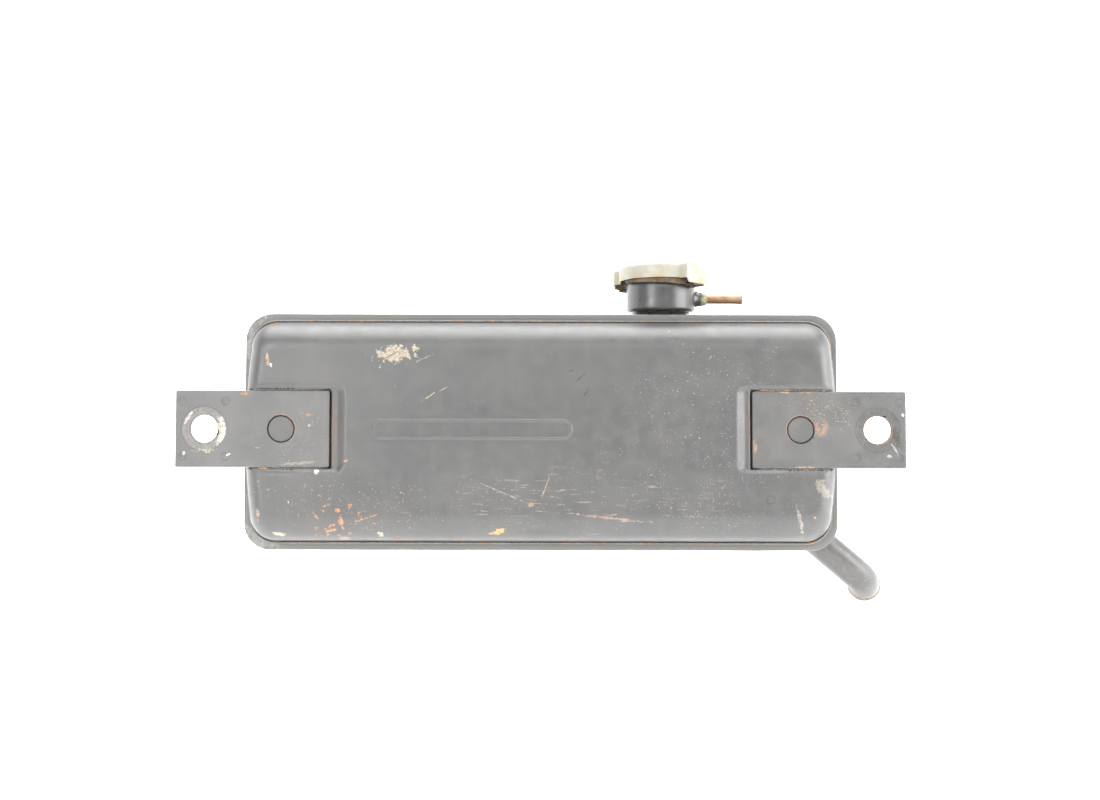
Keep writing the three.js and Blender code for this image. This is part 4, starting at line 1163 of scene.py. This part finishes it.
def overflow_tube():
    r, bore = OVERFLOW_R, OVERFLOW_R - 0.9
    start, end = NECK.x + BARREL_R - SHEET - 1, 138.0
    outside = [(r - 0.3, start), (r, start + 0.3)]
    outside += [(r + 0.03 * math.sin(x * 1.1), x) for x in np.linspace(start + 2, end - 5, 14)]
    outside += [(r + 0.12, end - 2.4), (r + 0.32, end - 1.0), (r + 0.22, end - 0.25), (r, end)]
    inside = [(bore + 0.15, end), (bore, end - 0.3), (bore, (start + end) / 2), (bore, start)]
    verts, faces = sweep(overflow_line, outside + inside, 40)
    make_piece("overflow_tube", verts, faces, COPPER, "tank", ["overflow_pipe"], sharp_deg=50)


def overflow_bulge():
    """The bulge drawn from the barrel's side: a cone that flares into the barrel."""
    length, bore, floor_z = 8.4, OVERFLOW_R + GAP, 80.6
    outside = [(4.9 + 5.6 * t ** 1.8, BULGE_X - t * length) for t in (k / 12 for k in range(13))]
    profile = [(bore, BULGE_X), (4.5, BULGE_X + 0.1)] + outside + [(bore, BULGE_X - length)]
    verts, faces = sweep(overflow_line, profile, 56)
    pts = np.array(verts)
    pts[:, 2] = np.maximum(pts[:, 2], floor_z)
    make_piece(
        "overflow_bulge", pts, faces, NECK_PAINT, "tank", ["overflow_boss"], sharp_deg=50
    )


def solder_collar():
    """The lumpy collar of solder where the overflow pipe leaves its bulge."""
    bore, start = OVERFLOW_R + 0.12, BULGE_X - 0.1
    profile = rounded([(bore, start), (4.6, start), (4.7, 111), (4.0, 113.0), (bore, 113.6)], 0.7)
    verts, faces = sweep(overflow_line, profile, 48)
    pts = np.array(verts)
    middle = np.array([NECK.y, OVERFLOW_Z])
    away = pts[:, 1:] - middle
    radius = np.linalg.norm(away, axis=1)
    grow = np.where(radius > OVERFLOW_R + 0.5, 1 + 0.09 * rumple(pts, 2.2, 3.0), 1.0)
    pts[:, 1:] = middle + away * grow[:, None]
    pts[:, 0] += 0.35 * rumple(pts, 3.0, 6.0) * (pts[:, 0] > 112)
    make_piece("solder_collar", pts, faces, SOLDER, "tank", ["overflow_collar"])


# ---- outlet --------------------------------------------------------------------------------------


def catmull_rom(points, per_span=24):
    """Points on a centripetal Catmull-Rom curve through the given ones, as in the CAD model."""
    pts = [Vector(p) for p in points]
    pts = [pts[0] * 2 - pts[1]] + pts + [pts[-1] * 2 - pts[-2]]
    out = []
    for i in range(1, len(pts) - 2):
        p0, p1, p2, p3 = pts[i - 1:i + 3]
        t0 = 0.0
        t1 = t0 + (p1 - p0).length ** 0.5
        t2 = t1 + (p2 - p1).length ** 0.5
        t3 = t2 + (p3 - p2).length ** 0.5
        for k in range(per_span + (1 if i == len(pts) - 3 else 0)):
            t = t1 + (t2 - t1) * k / per_span
            a1 = p0 * ((t1 - t) / (t1 - t0)) + p1 * ((t - t0) / (t1 - t0))
            a2 = p1 * ((t2 - t) / (t2 - t1)) + p2 * ((t - t1) / (t2 - t1))
            a3 = p2 * ((t3 - t) / (t3 - t2)) + p3 * ((t - t2) / (t3 - t2))
            b1 = a1 * ((t2 - t) / (t2 - t0)) + a2 * ((t - t0) / (t2 - t0))
            b2 = a2 * ((t3 - t) / (t3 - t1)) + a3 * ((t - t1) / (t3 - t1))
            out.append(b1 * ((t2 - t) / (t2 - t1)) + b2 * ((t - t1) / (t2 - t1)))
    return out


def outlet():
    """The outlet pipe with its bead, and the weld where it leaves the tank."""
    line = catmull_rom(OUTLET_PATH)
    lengths = [0.0]
    for a, b in zip(line, line[1:]):
        lengths.append(lengths[-1] + (b - a).length)
    total = lengths[-1]
    reference = Vector((1, 0, 1)).normalized()

    def path(distance):
        k = min(max(np.searchsorted(lengths, distance) - 1, 0), len(line) - 2)
        t = (distance - lengths[k]) / (lengths[k + 1] - lengths[k])
        tangent = (line[min(k + 2, len(line) - 1)] - line[max(k - 1, 0)]).normalized()
        side = (reference - tangent * reference.dot(tangent)).normalized()
        return line[k].lerp(line[k + 1], t), tangent, side

    r, bore = OUTLET_R, OUTLET_R - SHEET
    outside = [(r, d) for d in np.linspace(6.0, total - 4.2, 60)]
    outside += [(r + rise, total - back) for rise, back in (
        (0.15, 3.6), (0.7, 3.0), (1.15, 2.3), (1.25, 1.7), (1.1, 1.0), (0.6, 0.4), (-0.1, 0.0),
    )]
    inside = [(bore + 0.25, total), (bore, total - 0.35)]
    inside += [(bore, d) for d in np.linspace(total - 4, 6.0, 24)]
    verts, faces = sweep(path, outside + inside, 64)
    make_piece(
        "outlet_tube", verts, faces, OUTLET_PAINT, "tank", ["outlet_pipe"], sharp_deg=60
    )

    sides, slope_rings = 96, 15
    profile = []
    for k in range(slope_rings):
        t = k / (slope_rings - 1)
        profile.append((r + 0.15 + 3.3 * (1 - t) ** 1.9, 12.0 + 9.5 * t))
    profile += [(r - 0.3, 21.8), (r - 0.3, 10.0), (r + 3.4, 10.0)]
    verts, faces = sweep(path, profile, sides)
    pts = np.array(verts)
    lump = rumple(pts, 3.2, 8.0)
    for i in range((slope_rings - 1) * sides):
        point, _, _ = path(profile[i // sides][1])
        pts[i] = point + (Vector(pts[i]) - point) * (1 + 0.035 * lump[i])
    make_piece("outlet_fillet", pts, faces, PAINT, "tank", ["outlet_weld"])


# ---- pressure cap --------------------------------------------------------------------------------


def cap_outline_radius(angle):
    """Radius of the lid's outline at an angle from the ears' axis: a circle with two square ears."""
    c, s = abs(math.cos(angle)), abs(math.sin(angle))
    if s * EAR_R <= EAR_HALF * c + 1e-9:
        ear = EAR_R / c
    else:
        ear = EAR_HALF / max(s, 1e-6)
    return max(CAP_R, min(ear, math.hypot(EAR_R, EAR_HALF) - 0.9))


def lid():
    """The pressed lid: a domed top with stepped rings, a rolled edge, a skirt and two ears."""
    steps = 288
    angles = around(steps)
    outline = [cap_outline_radius(a) for a in angles]
    rings = []

    def round_ring(r, z):
        rings.append([(r, z, a) for a in angles])

    def edge_ring(back, heights):
        rings.append([(r - back, z, a) for r, z, a in zip(outline, heights, angles)])

    def lowest(r, a):
        across = abs(math.sin(a)) * r
        on_ear = r > CAP_R + 0.05 or across < EAR_HALF + 0.5
        ear = 1 - float(smooth_step(across, EAR_HALF - 1.6, EAR_HALF + 0.4)) if on_ear else 0.0
        wave = 0.25 * noise.noise(Vector((math.cos(a) * 2.2, math.sin(a) * 2.2, 4.0)))
        return CAP_SKIRT_Z + (EAR_LOW - CAP_SKIRT_Z) * ear + wave

    lows = [lowest(r, a) for r, a in zip(outline, angles)]
    for r, drop in (
        (2.9, 0.1), (3.4, 0), (7.5, 0), (8.6, 0.5), (13.0, 0.7), (14.2, 0.2), (20.5, 0.05), (25.5, 0.1),
    ):
        round_ring(r, CAP_TOP - drop)
    for back, drop in ((1.5, 0.0), (0.85, 0.2), (0.35, 0.65), (0.05, 1.4), (0.0, 2.4)):
        edge_ring(back, [CAP_TOP - 0.1 - drop] * steps)
    for share in (0.35, 0.65, 0.93):
        edge_ring(0.0, [CAP_TOP - 2.5 + (low - CAP_TOP + 2.5) * share for low in lows])
    for back, up in ((0.12, 0.05), (0.45, 0.0), (0.95, 0.05), (1.2, 0.35)):
        edge_ring(back, [low + up for low in lows])
    for share in (0.5, 0.0):
        edge_ring(1.2, [CAP_TOP - 2.4 + (low - CAP_TOP + 2.4) * share for low in lows])
    edge_ring(2.4, [CAP_TOP - 1.25] * steps)
    for r, drop in ((25.0, 1.3), (14.5, 1.45), (13.0, 1.9), (8.6, 1.7), (7.5, 1.2), (2.9, 1.2)):
        round_ring(r, CAP_TOP - drop)
    verts = [
        (NECK.x + r * math.cos(a + CAP_TURN), NECK.y + r * math.sin(a + CAP_TURN), z)
        for ring in rings for r, z, a in ring
    ]
    faces = loft_faces(len(rings), steps, True)
    make_piece("cap_lid_shell", verts, faces, ZINC, "cap_lid", ["cap_shell"], sharp_deg=50)


def cap_tab(label, flip):
    """The tab turned in under one ear, which runs along the cam's ramp."""
    nx, ny = 12, 8
    row = ny + 1
    layer_size = (nx + 1) * row
    a = CAP_TURN + flip
    verts, faces = [], []
    for z, droop in ((EAR_LOW + 0.25, 0.5), (EAR_LOW - TAB_THICK, 0.25)):
        for i in range(nx + 1):
            out = TAB_INNER_R + (EAR_R - 0.35 - TAB_INNER_R) * i / nx
            half = TAB_HALF - 1.4 * (1 - min(i / 3, 1)) ** 2
            drop = droop * (1 - i / nx) * 0.4
            for j in range(row):
                across = (-1 + 2 * j / ny) * half
                verts.append((
                    NECK.x + out * math.cos(a) - across * math.sin(a),
                    NECK.y + out * math.sin(a) + across * math.cos(a),
                    z - drop,
                ))
    for layer in (0, layer_size):
        for i in range(nx):
            for j in range(ny):
                k = layer + i * row + j
                faces.append((k, k + 1, k + row + 1, k + row))
    border = [i * row for i in range(nx + 1)] + [nx * row + j for j in range(1, row)]
    border += [i * row + ny for i in reversed(range(nx))] + [j for j in reversed(range(1, ny))]
    for low, high in zip(border, border[1:] + border[:1]):
        faces.append((low, high, high + layer_size, low + layer_size))
    tab = make_piece(f"cap_tab_{label}", verts, faces, CAP_TAB_STEEL, "cap_lid", [], sharp_deg=30)
    bevel = tab.modifiers.new("edge", "BEVEL")
    bevel.width = 0.3 * MM
    bevel.segments = 2
    bevel.limit_method = "ANGLE"


def coil(name, node, radius, wire, turns, low, top, body):
    """A compression spring with closed ends."""
    steps = int(turns * 40)
    sides = 12
    closed = 0.75 / turns  # share of the wire that lies flat at each end
    verts = []
    for i in range(steps + 1):
        t = i / steps
        rise = min(max((t - closed) / (1 - 2 * closed), 0), 1)
        z = low + wire + (top - low - 2 * wire) * rise
        a = 2 * math.pi * turns * t
        for b in around(sides):
            r = radius + wire * math.cos(b)
            verts.append((NECK.x + r * math.cos(a), NECK.y + r * math.sin(a), z + wire * math.sin(b)))
    faces = loft_faces(steps + 1, sides) + end_caps(steps + 1, sides)
    obj = make_piece(name, verts, faces, SPRING, body, [node], sharp_deg=50)
    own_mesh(obj)


# ---- build ---------------------------------------------------------------------------------------

front_pan()
rear_pan()
seam_bead()
for lug_side, lug_label in ((-1, "left"), (1, "right")):
    lug_plate(lug_side, lug_label)
    pocket_boss(lug_side, lug_label)
    lug_weld(lug_side, 1, lug_label)
    lug_weld(lug_side, -1, lug_label)
throat()
braze_fillet()
barrel()
cam()
overflow_tube()
overflow_bulge()
solder_collar()
outlet()
lid()
cap_tab("front", 0.0)
cap_tab("rear", math.pi)
coil("valve_coil", "pressure_spring", 10.4, 0.9, 4.5, 93.2, 104.4, "cap_core")
coil("vacuum_coil", "vacuum_spring", 4.0, 0.45, 5.0, 87.5, 94.1, "pressure_valve")

# CAD nodes that keep their own mesh and take a better material.
for node, finish in (
    ("cap_rivet", ZINC), ("cap_spring_disc", SPRING), ("cap_top_gasket", RUBBER), ("spring_cage", BRASS),
    ("pressure_valve_plate", BRASS), ("pressure_seal", RUBBER), ("vacuum_valve", BRASS),
    ("vacuum_clip", BRASS),
):
    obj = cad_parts[node]
    for slot_row in obj.material_slots:
        slot_row.link = "OBJECT"
        slot_row.material = finish

# ---- floor, light and camera ---------------------------------------------------------------------

FLOOR_Z = cad_low.z - 0.0005


def cove():
    """A round pale floor that curves up into a low wall and glows as a light, more strongly behind the tank
    than before it.
    """
    radius, fillet, top, steps = 4.5, 1.0, 3.2, 96
    line = [(0.01, 0.0), (0.8, 0.0), (2.0, 0.0), (radius - fillet, 0.0)]
    for a in np.linspace(0.1, math.pi / 2, 14):
        line.append((radius - fillet + fillet * math.sin(a), fillet - fillet * math.cos(a)))
    line.append((radius, top))
    verts = [(r * math.cos(a), r * math.sin(a), z + FLOOR_Z) for r, z in line for a in around(steps)]
    mesh = bpy.data.meshes.new("cove")
    mesh.from_pydata(verts, [], loft_faces(len(line), steps) + [tuple(range(steps))])
    mesh.shade_smooth()
    floor = Nodes("pale_floor")
    axes = floor.axes()
    floor.bsdf.inputs["Emission Color"].default_value = (1, 1, 1, 1)
    glow = floor.ramp(axes["Y"], -0.38, 0.05, 0.0, 2.1)
    wall = floor.ramp(axes["Z"], 0.1, 1.0, 0.0, 0.5)
    floor.put(floor.bsdf.inputs["Emission Strength"], floor.math("MAXIMUM", glow, wall))
    tint = floor.noise(400, 2.0)
    mesh.materials.append(floor.finish(floor.mix(tint, (0.60, 0.60, 0.60), (0.63, 0.63, 0.63)), 0.8))
    add_object("cove", mesh)


def area_light(name, location, target, size, power, size_y):
    data = bpy.data.lights.new(name, "AREA")
    data.energy = power
    data.shape = "RECTANGLE"
    data.size = size
    data.size_y = size_y
    obj = add_object(name, data)
    obj.location = location
    direction = Vector(target) - Vector(location)
    obj.rotation_euler = direction.to_track_quat("-Z", "Y").to_euler()


cove()
area_light("top_box", (0.0, 0.0, 1.2), (0, 0.0, 0), 2.0, 56, 1.2)
area_light("front_fill", (0.1, -1.45, 0.75), (0, 0, 0), 1.6, 8, 0.6)
area_light("left_strip", (-0.75, -1.1, 0.25), (0.08, 0.04, 0.05), 0.42, 11, 0.9)
area_light("right_box", (1.2, -0.45, 0.2), (0.1, 0.03, 0), 0.9, 23, 1.0)
area_light("backdrop_wash", (0.0, 1.2, 1.9), (0, 2.4, 0.3), 2.4, 20, 0.6)

world = bpy.data.worlds.new("studio")
world.use_nodes = True
world.node_tree.nodes["Background"].inputs["Color"].default_value = (1, 1, 1, 1)
world.node_tree.nodes["Background"].inputs["Strength"].default_value = 0.16
bpy.context.scene.world = world
bpy.context.scene.view_settings.view_transform = "Standard"

camera_data = bpy.data.cameras.new("camera")
camera_data.sensor_width = 36.0
camera_data.lens = 18.0 / math.tan(math.radians(45.6 / 2))
camera = add_object("camera", camera_data)
camera.location = (0.006, -0.854, -0.0165)
camera.rotation_euler = (math.radians(90 + 2.4), math.radians(-0.12), 0)
bpy.context.scene.camera = camera
